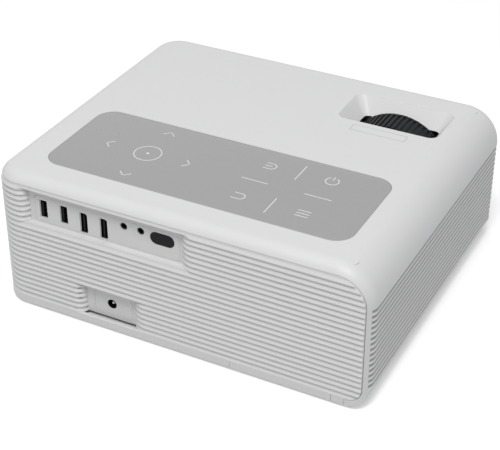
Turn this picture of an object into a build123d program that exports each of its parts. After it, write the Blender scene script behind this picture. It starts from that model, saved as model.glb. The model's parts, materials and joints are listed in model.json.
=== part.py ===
"""Desktop projector with a disc drive: louvred housing, light engine, focus lens, boards and tray drive.

Millimetres. +Z is up, the lens looks along -Y and the sockets are on the +Y side.
The origin is on the table, under the middle of the housing.
"""

from build123d import *
from math import asin, degrees, sqrt
import os

os.makedirs("parts", exist_ok=True)

# ---------------------------------------------------------------- driving dimensions
# housing
width = 270.0
depth = 233.0
foot_height = 2.0
rim_height = 5.0
louvre_pitch = 4.0
louvre_count = 22
cap_height = 6.0
wall = 2.4
side_roll = 25.0
base_roll = 15.0
end_corner = 20.0
edge_round = 10.0
seam = 0.3
half_width = width / 2
half_depth = depth / 2
# places below are measured from the nearest wall, so they follow the housing's width and depth

# louvres
louvre_depth = 1.3
louvre_waist = 0.95
louvre_lip = 0.6
louvre_wall = 3.2
side_groove_first = 5
side_groove_last = 19
side_groove_wrap = 34.0
shell_end_band = 4.5
shell_top_corner = 19.0
shell_low_corner = 9.0

# recesses in the rear louvres
recess_depth = 5.7
recess_floor = 2.0
near_cove_length = 10.0
far_cove_length = 6.9
port_recess_near = half_width - 150.6
port_recess_far = half_width - 20.5
port_recess_lip = 2.2
port_recess_louvres = 7
power_recess_near = half_width - 113.6
power_recess_far = half_width - 60.3
power_recess_louvres = 6

# insert plates and sockets
plate_round = 2.5
port_plate_length = 108.0
port_plate_height = 19.0
port_plate_x = half_width - 85.0
port_plate_z = 77.5
usb_x = (half_width - 37.8, half_width - 53.4)
usb_z = 77.8
usb_tall = 13.1
usb_wide = 5.7
video_x = (half_width - 68.5, half_width - 83.5)
video_z = 76.0
video_tall = 15.0
video_wide = 5.6
video_chamfer = 1.7
socket_sheet = 0.35
socket_back = 1.4
tongue_thickness = 1.4
tongue_inset = 2.0
tongue_margin = 3.0
socket_inset = 0.4
audio_x = (half_width - 98.5, half_width - 110.9)
audio_z = 82.4
audio_hole = 5.2
audio_body = 9.0
audio_bore = 3.6
audio_depth = 12.0
audio_inset = 0.6
ir_x = half_width - 126.4
ir_z = 80.6
ir_length = 17.6
ir_height = 9.0
ir_flange_margin = 0.5
receiver_length = 10.0
receiver_height = 7.0
receiver_round = 1.75
receiver_depth = 5.0
power_plate_length = 29.0
power_plate_height = 16.4
power_plate_x = half_width - 87.2
dc_x = half_width - 86.0
dc_z = 18.0
dc_hole = 7.0
dc_body = 11.0
dc_bore = 6.2
dc_pin_size = 2.1
dc_depth = 9.0
dc_pin_inset = 0.4
fit_gap = 0.2
plate_flange = 1.2
plate_flange_margin = 2.0
board_boss_radius = 3.5
board_boss_x = (half_width - 139.0, half_width - 89.0, half_width - 39.0)
board_boss_z = 50.0
power_boss_radius = 2.4
power_boss_x = half_width - 68.8
slot_height = 1.1
vent_first = 2
vent_last = 16
vent_length = 58.0
sound_length = 36.0
sound_first = 6
sound_last = 15
cove_slots = (16, 17, 18, 19)
cove_slot_length = 4.0

# touch panel and focus recess in the top
touch_length = width - 52.4
touch_width = 80.6
touch_round = 13.0
touch_x = 1.7
touch_y = half_depth - 64.7
touch_thickness = 1.2
funnel_length = 73.5
funnel_width = 39.5
funnel_round = 7.0
funnel_depth = 11.0
funnel_side_shift = 1.2
funnel_shift = 6.0
throat_length = 56.0
throat_width = 26.5
throat_shift = 2.5

# lens
lens_x = 61.5 - half_width
lens_z = 62.0
ring_radius = 36.8
ring_bore = 30.3
ring_front = 38.0 - half_depth
ring_length = 21.0
ring_ribs = 60
rib_depth = 0.9
rib_groove = 1.9
ring_rim = 2.5
ring_bevel = 0.8
running_gap = 0.3
sleeve_wall = 2.7
sleeve_overhang = 2.6
sleeve_collar = 35.0
retainer_radius = 34.0
retainer_thickness = 2.0
sleeve_flange = 3.0
flange_width = 76.0
flange_height = 60.0
barrel_wall = 2.5
barrel_bore = 18.5
barrel_length = 52.0
barrel_front = 12.5 - half_depth
front_glass_seat = 7.0
front_glass_rim = 3.0
front_glass_bulge = 4.5
rear_glass_radius = 20.0
rear_glass_thickness = 4.0
glass_gap = 0.1
focus_pin_radius = 1.5
focus_pin_y = 50.5 - half_depth
focus_pin_sink = 2.0
focus_slot_length = 12.0
focus_slot_width = 3.6
bezel_outer = 32.4
bezel_inner = 28.5
bezel_flange = 1.6
bezel_tube = 6.0
bezel_hole = 30.0

# light engine
box_low = 30.0
box_high = 92.0
box_wall = 2.0
box_left = 17.0 - half_width
box_right = lens_x + 121.5
box_front = 72.5 - half_depth
box_rear = half_depth - 44.5
mirror_thickness = 2.0
light_hole = 26.0
end_opening = 40.0
optic_height = 58.0
field_lens_x = lens_x + 52.0
lcd_x = lens_x + 58.0
collimator_x = lens_x + 65.0
heat_glass_x = lens_x + 76.0
optic_edge_gap = 4.0
lens_plate = 2.0
lcd_edge_gap = 1.0
lcd_thickness = 3.0
heat_glass_thickness = 1.1
guide_wall = 1.5
guide_depth = 6.0
cone_start = lens_x + 79.5
cone_wall = 1.2
cone_mouth_inset = 2.0
cone_throat = 42.0
led_plate = 56.0
led_plate_thickness = 3.0
led_chip = 22.0
led_chip_height = 0.8
condenser_radius = 16.0
condenser_rim = 1.0
condenser_bulge = 6.0
sink_width = 76.0
sink_height = 66.0
sink_base = 4.0
sink_fin_length = 28.0
sink_fins = 13
sink_fin = 1.3
fan_size = 66.0
fan_thickness = 15.0
fan_corner = 4.0
fan_rim = 2.0
fan_hub = 14.0
fan_seat = 2.5
fan_struts = 4
fan_strut = 3.0
fan_pin = 1.5
fan_end_gap = 1.0
fan_cap = 1.3
fan_tip_gap = 1.0
fan_blades = 7
blade_thickness = 1.4
blade_root_chord = 11.0
blade_root_pitch = 35.0
blade_tip_chord = 14.0
blade_tip_pitch = 55.0
duct_wall = 1.5
blower_size = 60.0
blower_corner = 4.0
blower_thickness = 15.0
blower_x = box_right - 30.0
outlet_width = 5.4
outlet_height = 40.0
outlet_x = box_right - 50.0
blower_wall = 1.5
blower_chamber = 27.0
blower_inlet = 17.0
blower_wheel = 20.0
blower_hub = 8.0
blower_fins = 18
blower_blade = 6.0
blower_pitch = 30.0
blower_pin_length = 8.0

# boards and sound
board_thickness = 1.6
main_board_y = half_depth - 24.5
main_board_x = (half_width - 147.0, half_width - 31.0)
main_board_z = (34.0, 92.0)
chip_sink_size = 34.0
chip_sink_x = half_width - 55.0
chip_sink_z = 58.0
chip_sink_base = 2.0
chip_sink_fin = 1.2
chip_sink_fins = 8
chip_fin_length = 6.0
power_board_y = half_depth - 20.5
power_board_x = (half_width - 95.0, half_width - 65.0)
power_board_z = (8.4, 28.0)
touch_board_inset = 13.8
touch_board_width = 56.0
touch_board_thickness = 1.2
driver_board_x = (35.0 - half_width, half_width - 151.0)
driver_board_y = (-28.0, 44.0)
driver_board_z = 10.0
driver_boss_inset = 5.0
driver_boss_radius = 3.0
coil_insets = (18.0, 40.0)
coil_y = 24.0
coil_radius = 9.0
coil_bore = 4.0
coil_height = 9.0
coil_round = 2.0
capacitor_insets = [(18.0, -10.0), (18.0, 6.0), (34.0, -10.0)]
capacitor_radius = 6.0
capacitor_height = 15.0
capacitor_round = 0.8
speaker_x = (half_width - 101.0, half_width - 49.0)
speaker_z = 52.0
speaker_frame = 44.0
speaker_corner = 4.0
speaker_plate = 1.5
speaker_bore = 19.0
basket_wall = 1.5
basket_depth = 10.0
basket_hole = 10.0
cone_edge = 0.8
dust_cap = 7.0
magnet_radius = 14.0
magnet_height = 7.0

# disc drive
drive_y = -10.0
drive_half = 64.0
drive_front = half_width - 6.0
drive_back = drive_front - 125.0
drive_low = 6.0
drive_height = 12.7
sheet = 0.8
drive_boss_inset = 8.0
drive_boss_side = 6.0
drive_boss_radius = 4.0
rail_thickness = 1.0
rail_height = 4.0
rail_start = drive_back + 6.0
rail_length = 108.0
rail_lift = 0.5
tray_low = 8.2
tray_thickness = 5.0
tray_back = drive_back + 1.5
tray_face_gap = 0.4
disc_x = drive_front - 62.0
disc_well_radius = 60.4
disc_well_depth = 1.5
mech_plate_thickness = 0.8
mech_slot_start = -17.0
mech_slot_end = 61.0
mech_slot_width = 34.0
mech_plate_margin = 2.5
motor_radius = 12.0
motor_height = 2.0
hub_table = 14.0
hub_table_thickness = 1.7
hub_radius = 7.4
hub_height = 1.6
hub_bevel = 0.6
spindle_radius = 1.5
spindle_gap = 0.05
sled_length = 14.0
sled_width = 28.0
sled_height = 2.8
sled_lift = 0.4
sled_start = 24.0
pickup_lens = 3.0
pickup_lens_height = 0.4
rod_start = 14.5
rod_end = 60.0
rod_support = 2.0
rod_support_width = 26.0
rod_support_height = 3.0
rod_radius = 1.0
rod_spread = 11.0
rod_lift = 1.8
rod_gap = 0.06
bezel_rows = 3
mouth_half = 65.0
eject_length = 6.0
eject_height = 2.4
eject_y = 38.0
eject_inset = 0.2
eject_flange = 0.9
eject_travel = 0.8
eject_stop_gap = 0.5
eject_rest_gap = 0.1
eject_margin = 1.2

# bottom, feet, screws
foot_length = 24.0
foot_width = 7.0
foot_sink = 0.6
foot_x = half_width - 19.7
foot_y = half_depth - 38.5
pillar_radius = 4.2
pillar_x = half_width - 19.5
pillar_y = half_depth - 12.5
pillar_seat = 8.0
screw_seat = 5.0
screw_radius = 1.45
screw_gap = 0.05
screw_head = 3.0
screw_head_height = 1.8
screw_length = 16.0
thread_radius = 3.1
insert_radius = 5.0
insert_height = 9.0
insert_boss_radius = 8.0
insert_x = -20.0
insert_y = 38.5 - half_depth
door_left = 24.2 - half_width
door_right = 93.9 - half_width
door_front = 46.0
door_ledge = 3.0
door_ledge_height = 1.5
door_slots = 9
door_slot_width = 2.4
door_slot_length = 50.0
filter_thickness = 1.2
post_radius = 5.0
post_inset = 7.0
post_side = 8.0
post_drive_gap = 5.0

# ---------------------------------------------------------------- values worked out from them
z_base = foot_height
z_floor = z_base + wall
z_shell_low = z_base + rim_height
z_shell_top = z_shell_low + louvre_count * louvre_pitch
z_top = z_shell_top + cap_height
z_ceiling = z_top - wall
shell_left = -half_width + shell_end_band
flat_left = -half_width + base_roll
recess_face = half_depth - recess_depth
recess_back = recess_face - recess_floor
ring_back = ring_front + ring_length
sleeve_radius = ring_bore - running_gap
sleeve_bore = sleeve_radius - sleeve_wall
barrel_radius = sleeve_bore - running_gap
sleeve_front = ring_front - sleeve_overhang
lens_plane = Plane(origin=(lens_x, 0, lens_z), x_dir=(1, 0, 0), z_dir=(0, -1, 0))
funnel_spot = (lens_x + funnel_side_shift, ring_back - funnel_width / 2 + funnel_shift)
throat_spot = (lens_x, ring_back - throat_width / 2 + throat_shift)
fold_y = (box_front + box_rear) / 2
mirror_length = box_rear - box_front - 2 * box_wall
optic_width = mirror_length - 2 * optic_edge_gap
lcd_width = mirror_length - 2 * lcd_edge_gap
cone_mouth_width = optic_width - 2 * cone_mouth_inset
cone_mouth_height = optic_height - 2 * cone_mouth_inset
fold_line = lens_x - fold_y - (box_wall + mirror_thickness) * sqrt(2)
inner_low = box_low + box_wall
led_x = box_right
sink_x = led_x + led_plate_thickness
fan_x = sink_x + sink_base + sink_fin_length
case_inner = drive_half - sheet
rail_outer = case_inner - running_gap
tray_half = rail_outer - rail_thickness - running_gap
tray_top = tray_low + tray_thickness
tray_front = drive_front + tray_face_gap
eject_pocket = eject_flange + eject_travel + eject_stop_gap
mech_low = tray_low - mech_plate_thickness
half_root = sqrt(0.5)
mech_plane = Plane(origin=(disc_x, drive_y, 0), x_dir=(-half_root, half_root, 0), z_dir=(0, 0, 1))
bezel_top = z_shell_low + bezel_rows * louvre_pitch
screw_spots = [(x, y) for x in (-pillar_x, pillar_x) for y in (-pillar_y, pillar_y)]
foot_spots = [(x, y) for x in (-foot_x, foot_x) for y in (-foot_y, foot_y)]
board_boss_spots = [(x, board_boss_z) for x in board_boss_x]
usb_spots = [(x, usb_z) for x in usb_x]
video_spots = [(x, video_z) for x in video_x]
audio_spots = [(x, audio_z) for x in audio_x]
coil_spots = [(driver_board_x[0] + inset, coil_y) for inset in coil_insets]
capacitor_spots = [(driver_board_x[1] - inset, y) for inset, y in capacitor_insets]
box_post_y = (box_front + post_inset, drive_y + drive_half + post_drive_gap + post_radius)
box_post_x = box_right - post_side
post_spots = [
    (box_left + post_inset, box_post_y[0]), (drive_back - 2 * post_radius - box_wall, box_post_y[0]),
    (drive_back - 2 * post_radius - box_wall, box_post_y[1]), (box_post_x, box_post_y[1]),
]
driver_spots = [
    (x, y)
    for x in (driver_board_x[0] + driver_boss_inset, driver_board_x[1] - driver_boss_inset)
    for y in (driver_board_y[0] + driver_boss_inset, driver_board_y[1] - driver_boss_inset)
]
drive_boss_reach = drive_half - drive_boss_side
drive_spots = [
    (x, y)
    for x in (drive_back + drive_boss_inset, drive_front - drive_boss_inset)
    for y in (drive_y - drive_boss_reach, drive_y + drive_boss_reach)
]
boss_rows = [
    (screw_spots, pillar_radius, pillar_seat),
    (post_spots, post_radius, box_low),
    (driver_spots, driver_boss_radius, driver_board_z),
    (drive_spots, drive_boss_radius, drive_low),
    ([(insert_x, insert_y)], insert_boss_radius, z_base + insert_height + wall),
]


def save(piece, label):
    """Name a finished piece and write it to its own file."""
    piece.part.label = label
    export_step(piece.part, f"parts/{label}.step")


def housing_form(inset):
    """The rounded body, or the same form a given depth inside its skin."""
    side = half_width - inset
    low = z_base + inset
    high = z_top - inset
    roll = side_roll - inset
    low_roll = base_roll - inset
    with BuildPart() as form:
        with BuildSketch(Plane.XZ):
            with BuildLine():
                Polyline((-side, high - roll), (-side, low), (side, low), (side, high), (-side + roll, high))
                CenterArc((-side + roll, high - roll), roll, 90, 90)
            make_face()
        extrude(amount=half_depth - inset, both=True)
        fillet(form.edges().filter_by(Axis.Z).group_by(Axis.X)[-1], end_corner - inset)
        fillet(form.edges().filter_by(Axis.Y).group_by(Axis.X)[-1].sort_by(Axis.Z)[-1], edge_round - inset)
        with BuildSketch(Plane.XZ):
            with BuildLine():
                Polyline(
                    (-side, low + low_roll), (-side - wall, low + low_roll), (-side - wall, low - wall),
                    (-side + low_roll, low - wall), (-side + low_roll, low),
                )
                CenterArc((-side + low_roll, low + low_roll), low_roll, 180, 90)
            make_face()
        extrude(amount=half_depth, both=True, mode=Mode.SUBTRACT)
    return form.part


def end_outline(clearance):
    """Outline of the louvred wall seen from behind, grown by a clearance."""
    left = shell_left - clearance
    low = z_shell_low - clearance
    high = z_shell_top + clearance
    right = half_width + wall
    top_round = shell_top_corner + clearance
    low_round = shell_low_corner + clearance
    with BuildSketch(Plane.XZ) as outline:
        with BuildLine():
            FilletPolyline((right, low), (left, low), (left, (low + high) / 2), radius=low_round)
            FilletPolyline((left, (low + high) / 2), (left, high), (right, high), radius=top_round)
            Line((right, high), (right, low))
        make_face()
    return outline.sketch


def louvre_z(line):
    """Height of a groove line, counted down from the top of the louvred wall."""
    return z_shell_top - line * louvre_pitch


def groove_points(line):
    """One louvre's cut, as heights and depths: deep under the groove line and out to the lip."""
    top = louvre_z(line)
    low = top - louvre_pitch + louvre_lip
    waist = (top + low) / 2
    return [(top, seam), (top, -louvre_depth), (waist, -louvre_waist), (low, 0), (low, seam)]


def across(path):
    """The plane across a path's start: local x is up and local y points out of the housing."""
    return Plane(origin=path @ 0, x_dir=(0, 0, 1), z_dir=path % 0)


def cove_points(near, far):
    """Ends of a recess's floor for its two mouth ends."""
    return near + near_cove_length, far - far_cove_length


def cove_arc(start, end):
    """Arc in plan that leaves the rear face smoothly at start and sinks to the recess floor at end."""
    length = abs(end - start)
    radius = (length**2 + recess_depth**2) / (2 * recess_depth)
    middle = radius - sqrt(radius**2 - (length / 2) ** 2)
    return ThreePointArc(
        (start, half_depth), ((start + end) / 2, half_depth - middle), (end, recess_face)
    )


def video_outline(margin):
    """Draw one video socket's outline, with two corners cut off, grown by a margin."""
    wide = video_wide / 2 + margin
    tall = video_tall / 2 + margin
    Polygon(
        (wide, tall), (video_chamfer - wide, tall), (-wide, tall - video_chamfer),
        (-wide, video_chamfer - tall), (video_chamfer - wide, -tall), (wide, -tall),
        align=None,
    )


def box_outline(inset):
    """Draw the light box in plan, or the same a given depth inside: its mirror corner is cut off."""
    fold = fold_line + inset * sqrt(2)
    left = box_left + inset
    right = box_right - inset
    front = box_front + inset
    rear = box_rear - inset
    Polygon(
        (left, front), (right, front), (right, rear), (fold + rear, rear), (left, left - fold), align=None
    )


def light_plane(x):
    """Plane across the lamp's light at a place along the housing: local x is +Y and local y is up."""
    return Plane(origin=(x, fold_y, lens_z), x_dir=(0, 1, 0), z_dir=(1, 0, 0))


def round_lens(seat, radius, rim, bulge):
    """Round lens on a seat: flat back, upright rim and a face bulging along the seat's normal."""
    sphere = (radius**2 + bulge**2) / (2 * bulge)
    spread = degrees(asin(radius / sphere))
    with BuildPart() as lens:
        with BuildSketch(Plane(origin=seat.origin, x_dir=seat.x_dir, z_dir=-seat.y_dir)):
            with BuildLine():
                Polyline((0, rim + bulge), (0, 0), (radius, 0), (radius, rim))
                CenterArc((0, rim + bulge - sphere), sphere, 90 - spread, spread)
            make_face()
        revolve(axis=Axis(seat.origin, seat.z_dir))
    return lens


outer_form = housing_form(0)
inner_form = housing_form(wall)

# ---------------------------------------------------------------- top cover
with BuildPart() as funnel_void:
    with BuildSketch(Plane.XY.offset(z_top)):
        with Locations(funnel_spot):
            RectangleRounded(funnel_length, funnel_width, funnel_round)
    with BuildSketch(Plane.XY.offset(z_top - funnel_depth)):
        with Locations(throat_spot):
            RectangleRounded(throat_length, throat_width, funnel_round / 2)
    loft()

with BuildPart() as funnel_body:
    with BuildSketch(Plane.XY.offset(z_top - wall / 2)):
        with Locations(funnel_spot):
            RectangleRounded(funnel_length + wall, funnel_width + wall, funnel_round + wall / 2)
    with BuildSketch(Plane.XY.offset(z_top - funnel_depth)):
        with Locations(throat_spot):
            RectangleRounded(throat_length + wall, throat_width + wall, funnel_round / 2 + wall / 2)
    loft()

bend_x = edge_round - half_width
bend_y = half_depth - edge_round

with BuildPart() as side_grooves:
    with BuildLine() as side_path:
        wrap = CenterArc((bend_x, bend_y), edge_round, 180 - side_groove_wrap, side_groove_wrap)
        Line(wrap @ 1, (-half_width, -bend_y))
        CenterArc((bend_x, -bend_y), edge_round, 180, side_groove_wrap)
    with BuildSketch(across(side_path.wires()[0])):
        for line in range(side_groove_first, side_groove_last + 1):
            with BuildLine():
                Polyline(*groove_points(line), close=True)
            make_face()
    sweep(path=side_path.wires()[0])

with BuildPart() as top_cover:
    add(outer_form)
    add(inner_form, mode=Mode.SUBTRACT)
    add(extrude(end_outline(seam), amount=depth, both=True, mode=Mode.PRIVATE), mode=Mode.SUBTRACT)
    with BuildSketch(Plane.XY.offset(z_shell_low)):
        with Locations((flat_left, 0)):
            Rectangle(width, width, align=(Align.MIN, Align.CENTER))
    extrude(amount=-rim_height, mode=Mode.SUBTRACT)
    add(funnel_body.part)
    with BuildSketch(Plane.XY.offset(pillar_seat)):
        with Locations(*screw_spots):
            Circle(pillar_radius)
    extrude(amount=z_ceiling - pillar_seat + wall / 2)
    add(funnel_void.part, mode=Mode.SUBTRACT)
    with BuildSketch(Plane.XY.offset(pillar_seat)):
        with Locations(*screw_spots):
            Circle(screw_radius + screw_gap)
    extrude(amount=screw_length, mode=Mode.SUBTRACT)
    with BuildSketch(Plane.XY.offset(z_top)):
        with Locations((touch_x, touch_y)):
            RectangleRounded(touch_length, touch_width, touch_round)
    extrude(amount=-touch_thickness, mode=Mode.SUBTRACT)
    add(side_grooves.part, mode=Mode.SUBTRACT)
save(top_cover, "top_cover")

# ---------------------------------------------------------------- louvred wall round the rear, far side and front
port_floor = cove_points(port_recess_near, port_recess_far)
power_floor = cove_points(power_recess_near, power_recess_far)
port_low = louvre_z(port_recess_louvres)
port_high = z_shell_top - port_recess_lip
power_high = z_shell_low + power_recess_louvres * louvre_pitch
recess_frames = [
    (port_recess_near, port_recess_far, port_floor, port_low, port_high),
    (power_recess_near, power_recess_far, power_floor, z_shell_low, power_high),
]
power_lines = range(louvre_count - power_recess_louvres, louvre_count)
cove_rows = [
    (port_recess_near, port_recess_far, port_floor, range(1, port_recess_louvres)),
    (power_recess_near, power_recess_far, power_floor, power_lines),
]


def slot_spots(centre, lines):
    """Middles of the slots in a run of louvres, at a place along them."""
    return [(centre, louvre_z(line) - slot_height) for line in lines]


def recess_solid(frame, grow, base, height):
    """A recess's shape in plan, raised to a height; grow thickens it behind its floor and ends."""
    near, far, floor, _, _ = frame
    with BuildPart() as solid:
        with BuildSketch(Plane.XY.offset(base)):
            with BuildLine():
                near_end = cove_arc(near, floor[0])
                far_end = cove_arc(far, floor[1])
                Line(near_end @ 1, far_end @ 1)
                Polyline(near_end @ 0, (near, half_depth + wall), (far, half_depth + wall), far_end @ 0)
            make_face()
            if grow:
                offset(amount=grow)
        extrude(amount=height)
    return solid.part


def cove_cutter(start, end, lines):
    """Louvre cuts that follow one end of a recess from the rear face down to its floor."""
    with BuildPart() as cutter:
        with BuildLine() as path:
            cove_arc(start, end)
        with BuildSketch(across(path.wires()[0])):
            for line in lines:
                with BuildLine():
                    flip = 1 if end > start else -1
                    Polyline(*[(height, -flip * out) for height, out in groove_points(line)], close=True)
                make_face()
        sweep(path=path.wires()[0])
    return cutter.part


recess_blocks = {}
for near, far, floor, base, high in recess_frames:
    block_low = base - (recess_floor if base > z_shell_low else 0)
    block_high = min(high + recess_floor, z_shell_top)
    with BuildPart() as block:
        add(recess_solid((near, far, floor, base, high), recess_floor, block_low, block_high - block_low))
        split(bisect_by=Plane.XZ.offset(-half_depth + louvre_depth), keep=Keep.TOP)
    recess_blocks[near] = block.part

with BuildPart() as louvre_shell:
    with BuildLine() as shell_path:
        front_run = Line((shell_left - wall, -half_depth), (half_width - end_corner, -half_depth))
        RadiusArc(front_run @ 1, (half_width, -half_depth + end_corner), -end_corner)
        side_run = Line((half_width, -half_depth + end_corner), (half_width, half_depth - end_corner))
        RadiusArc(side_run @ 1, (half_width - end_corner, half_depth), -end_corner)
        Line((half_width - end_corner, half_depth), (shell_left - wall, half_depth))
    with BuildSketch(across(shell_path.wires()[0])):
        with BuildLine():
            teeth = [(z_shell_low, 0)]
            for line in reversed(range(louvre_count)):
                cut = groove_points(line)
                teeth += [cut[3], cut[2], cut[1]]
                if line:
                    teeth.append((louvre_z(line), 0))
            Polyline(*teeth, (z_shell_top, -louvre_wall), (z_shell_low, -louvre_wall), close=True)
        make_face()
    sweep(path=shell_path.wires()[0])
    add(extrude(end_outline(0), amount=depth, both=True, mode=Mode.PRIVATE), mode=Mode.INTERSECT)
    for frame in recess_frames:
        add(recess_blocks[frame[0]])
    for near, far, floor, base, high in recess_frames:
        add(recess_solid((near, far, floor, base, high), 0, base, high - base), mode=Mode.SUBTRACT)
    for near, far, floor, lines in cove_rows:
        add(cove_cutter(near, floor[0], lines), mode=Mode.SUBTRACT)
        add(cove_cutter(far, floor[1], lines), mode=Mode.SUBTRACT)
    # openings for the two insert plates
    with BuildSketch(Plane.XZ.offset(-half_depth)):
        with Locations((port_plate_x, port_plate_z)):
            RectangleRounded(port_plate_length, port_plate_height, plate_round)
        with Locations((power_plate_x, dc_z)):
            RectangleRounded(power_plate_length, power_plate_height, plate_round)
    extrude(amount=recess_depth + recess_floor + wall, mode=Mode.SUBTRACT)
    # bosses that carry the two upright boards
    with BuildSketch(Plane.XZ.offset(-half_depth + louvre_wall)):
        with Locations(*board_boss_spots):
            Circle(board_boss_radius)
    extrude(amount=half_depth - louvre_wall - main_board_y - board_thickness)
    with BuildSketch(Plane.XZ.offset(-recess_back)):
        with Locations((power_boss_x, dc_z)):
            Circle(power_boss_radius)
    extrude(amount=recess_back - power_board_y - board_thickness)
    # lens opening with the bezel's seat
    with BuildSketch(lens_plane.offset(half_depth - louvre_wall)):
        Circle(bezel_hole)
    extrude(amount=louvre_wall, mode=Mode.SUBTRACT)
    with BuildSketch(lens_plane.offset(half_depth - bezel_flange)):
        Circle(bezel_outer + fit_gap)
    extrude(amount=bezel_flange, mode=Mode.SUBTRACT)
    # air slots by the fan with the tray mouth under them, sound slots by the speakers
    with BuildSketch(Plane.YZ.offset(half_width - louvre_wall)):
        with Locations(*slot_spots(fold_y, range(vent_first, vent_last + 1))):
            Rectangle(vent_length, slot_height)
        with Locations((drive_y, z_shell_low)):
            Rectangle(2 * mouth_half, bezel_top - z_shell_low, align=(Align.CENTER, Align.MIN))
    extrude(amount=louvre_wall, mode=Mode.SUBTRACT)
    with BuildSketch(Plane.XZ.offset(half_depth - louvre_wall)):
        for x in speaker_x:
            with Locations(*slot_spots(x, range(sound_first, sound_last + 1))):
                Rectangle(sound_length, slot_height)
    extrude(amount=louvre_wall, mode=Mode.SUBTRACT)
    with BuildSketch(Plane.XZ.offset(-half_depth)):
        with Locations(*slot_spots(power_recess_far - cove_slot_length, cove_slots)):
            Rectangle(cove_slot_length, slot_height)
    extrude(amount=louvre_wall, mode=Mode.SUBTRACT)
save(louvre_shell, "louvre_shell")

# ---------------------------------------------------------------- bottom cover, door, filter, feet, screws
door_middle = (door_left + door_right) / 2
door_width = door_right - door_left
door_length = half_depth - door_front

with BuildPart() as bottom_skin:
    add(outer_form)
    add(inner_form, mode=Mode.SUBTRACT)
    split(bisect_by=Plane.XY.offset(z_shell_low), keep=Keep.BOTTOM)

with BuildPart() as bottom_cover:
    add(bottom_skin.part)
    split(bisect_by=Plane.YZ.offset(flat_left + seam), keep=Keep.TOP)
    with BuildSketch(Plane.XY.offset(z_base)):
        with Locations((door_left - seam, door_front - seam)):
            Rectangle(door_width + 2 * seam, door_length + wall, align=(Align.MIN, Align.MIN))
    extrude(amount=rim_height, mode=Mode.SUBTRACT)
    # ledge that carries the door from above
    with BuildSketch(Plane.XY.offset(z_floor)):
        with Locations((door_middle, half_depth - wall)):
            Rectangle(
                door_width + 2 * door_ledge, door_length - wall + door_ledge,
                align=(Align.CENTER, Align.MAX),
            )
        with Locations((door_middle, half_depth - wall - door_ledge)):
            Rectangle(
                door_width - 2 * door_ledge, door_length - wall - 2 * door_ledge,
                align=(Align.CENTER, Align.MAX), mode=Mode.SUBTRACT,
            )
    extrude(amount=door_ledge_height)
    # bosses for the pillars, posts for the light box, stand-offs for the driver board and the drive
    for spots, radius, top in boss_rows:
        with BuildSketch(Plane.XY.offset(z_floor)):
            with Locations(*spots):
                Circle(radius)
        extrude(amount=top - z_floor)
    with BuildSketch(Plane.XY.offset(z_base)):
        with Locations(*screw_spots):
            Circle(screw_head + fit_gap)
    extrude(amount=screw_seat - z_base, mode=Mode.SUBTRACT)
    with BuildSketch(Plane.XY.offset(screw_seat)):
        with Locations(*screw_spots):
            Circle(screw_radius + fit_gap)
    extrude(amount=pillar_seat - screw_seat, mode=Mode.SUBTRACT)
    with BuildSketch(Plane.XY.offset(z_base)):
        with Locations(*foot_spots):
            RectangleRounded(foot_width + fit_gap, foot_length + fit_gap, foot_width / 2)
    extrude(amount=foot_sink, mode=Mode.SUBTRACT)
    with BuildSketch(Plane.XY.offset(z_base)):
        with Locations((insert_x, insert_y)):
            Circle(insert_radius)
    extrude(amount=insert_height, mode=Mode.SUBTRACT)
save(bottom_cover, "bottom_cover")

with BuildPart() as filter_door:
    with BuildSketch(Plane.XY.offset(z_base)):
        with Locations((door_left, door_front)):
            Rectangle(door_width, door_length + wall, align=(Align.MIN, Align.MIN))
    extrude(amount=rim_height)
    add(bottom_skin.part, mode=Mode.INTERSECT)
    with BuildSketch(Plane.XY.offset(z_base)):
        with Locations((door_middle, door_front + door_length / 2)):
            with GridLocations(2 * door_slot_width, 0, door_slots, 1):
                SlotOverall(door_slot_length, door_slot_width, rotation=90)
    extrude(amount=wall, mode=Mode.SUBTRACT)
save(filter_door, "filter_door")

with BuildPart() as dust_filter:
    with BuildSketch(Plane.XY.offset(z_floor)):
        with Locations((door_middle, half_depth - wall - door_ledge - fit_gap)):
            Rectangle(
                door_width - 2 * door_ledge - 2 * fit_gap, door_length - wall - 2 * door_ledge - 2 * fit_gap,
                align=(Align.CENTER, Align.MAX),
            )
    extrude(amount=filter_thickness)
save(dust_filter, "dust_filter")

with BuildPart() as rubber_feet:
    with BuildSketch():
        with Locations(*foot_spots):
            RectangleRounded(foot_width, foot_length, foot_width / 2 - fit_gap)
    extrude(amount=z_base + foot_sink)
    chamfer(rubber_feet.faces().group_by(Axis.Z)[0].edges(), foot_sink)
save(rubber_feet, "rubber_feet")

with BuildPart() as housing_screws:
    with BuildSketch(Plane.XY.offset(screw_seat - screw_head_height)):
        with Locations(*screw_spots):
            Circle(screw_head)
    extrude(amount=screw_head_height)
    with BuildSketch(Plane.XY.offset(screw_seat)):
        with Locations(*screw_spots):
            Circle(screw_radius)
    extrude(amount=screw_length)
save(housing_screws, "housing_screws")

with BuildPart() as tripod_insert:
    with BuildSketch(Plane.XY.offset(z_base)):
        with Locations((insert_x, insert_y)):
            Circle(insert_radius)
            Circle(thread_radius, mode=Mode.SUBTRACT)
    extrude(amount=insert_height)
save(tripod_insert, "tripod_insert")

# ---------------------------------------------------------------- touch panel, insert plates, sockets
with BuildPart() as touch_panel:
    with BuildSketch(Plane.XY.offset(z_top)):
        with Locations((touch_x, touch_y)):
            RectangleRounded(touch_length - fit_gap, touch_width - fit_gap, touch_round)
    extrude(amount=-touch_thickness)
save(touch_panel, "touch_panel")

with BuildPart() as touch_board:
    with BuildSketch(Plane.XY.offset(z_ceiling)):
        with Locations((touch_x, touch_y)):
            Rectangle(touch_length - 2 * touch_board_inset, touch_board_width)
    extrude(amount=-touch_board_thickness)
save(touch_board, "touch_board")

back_plane = Plane.XZ.offset(-recess_back)

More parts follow.
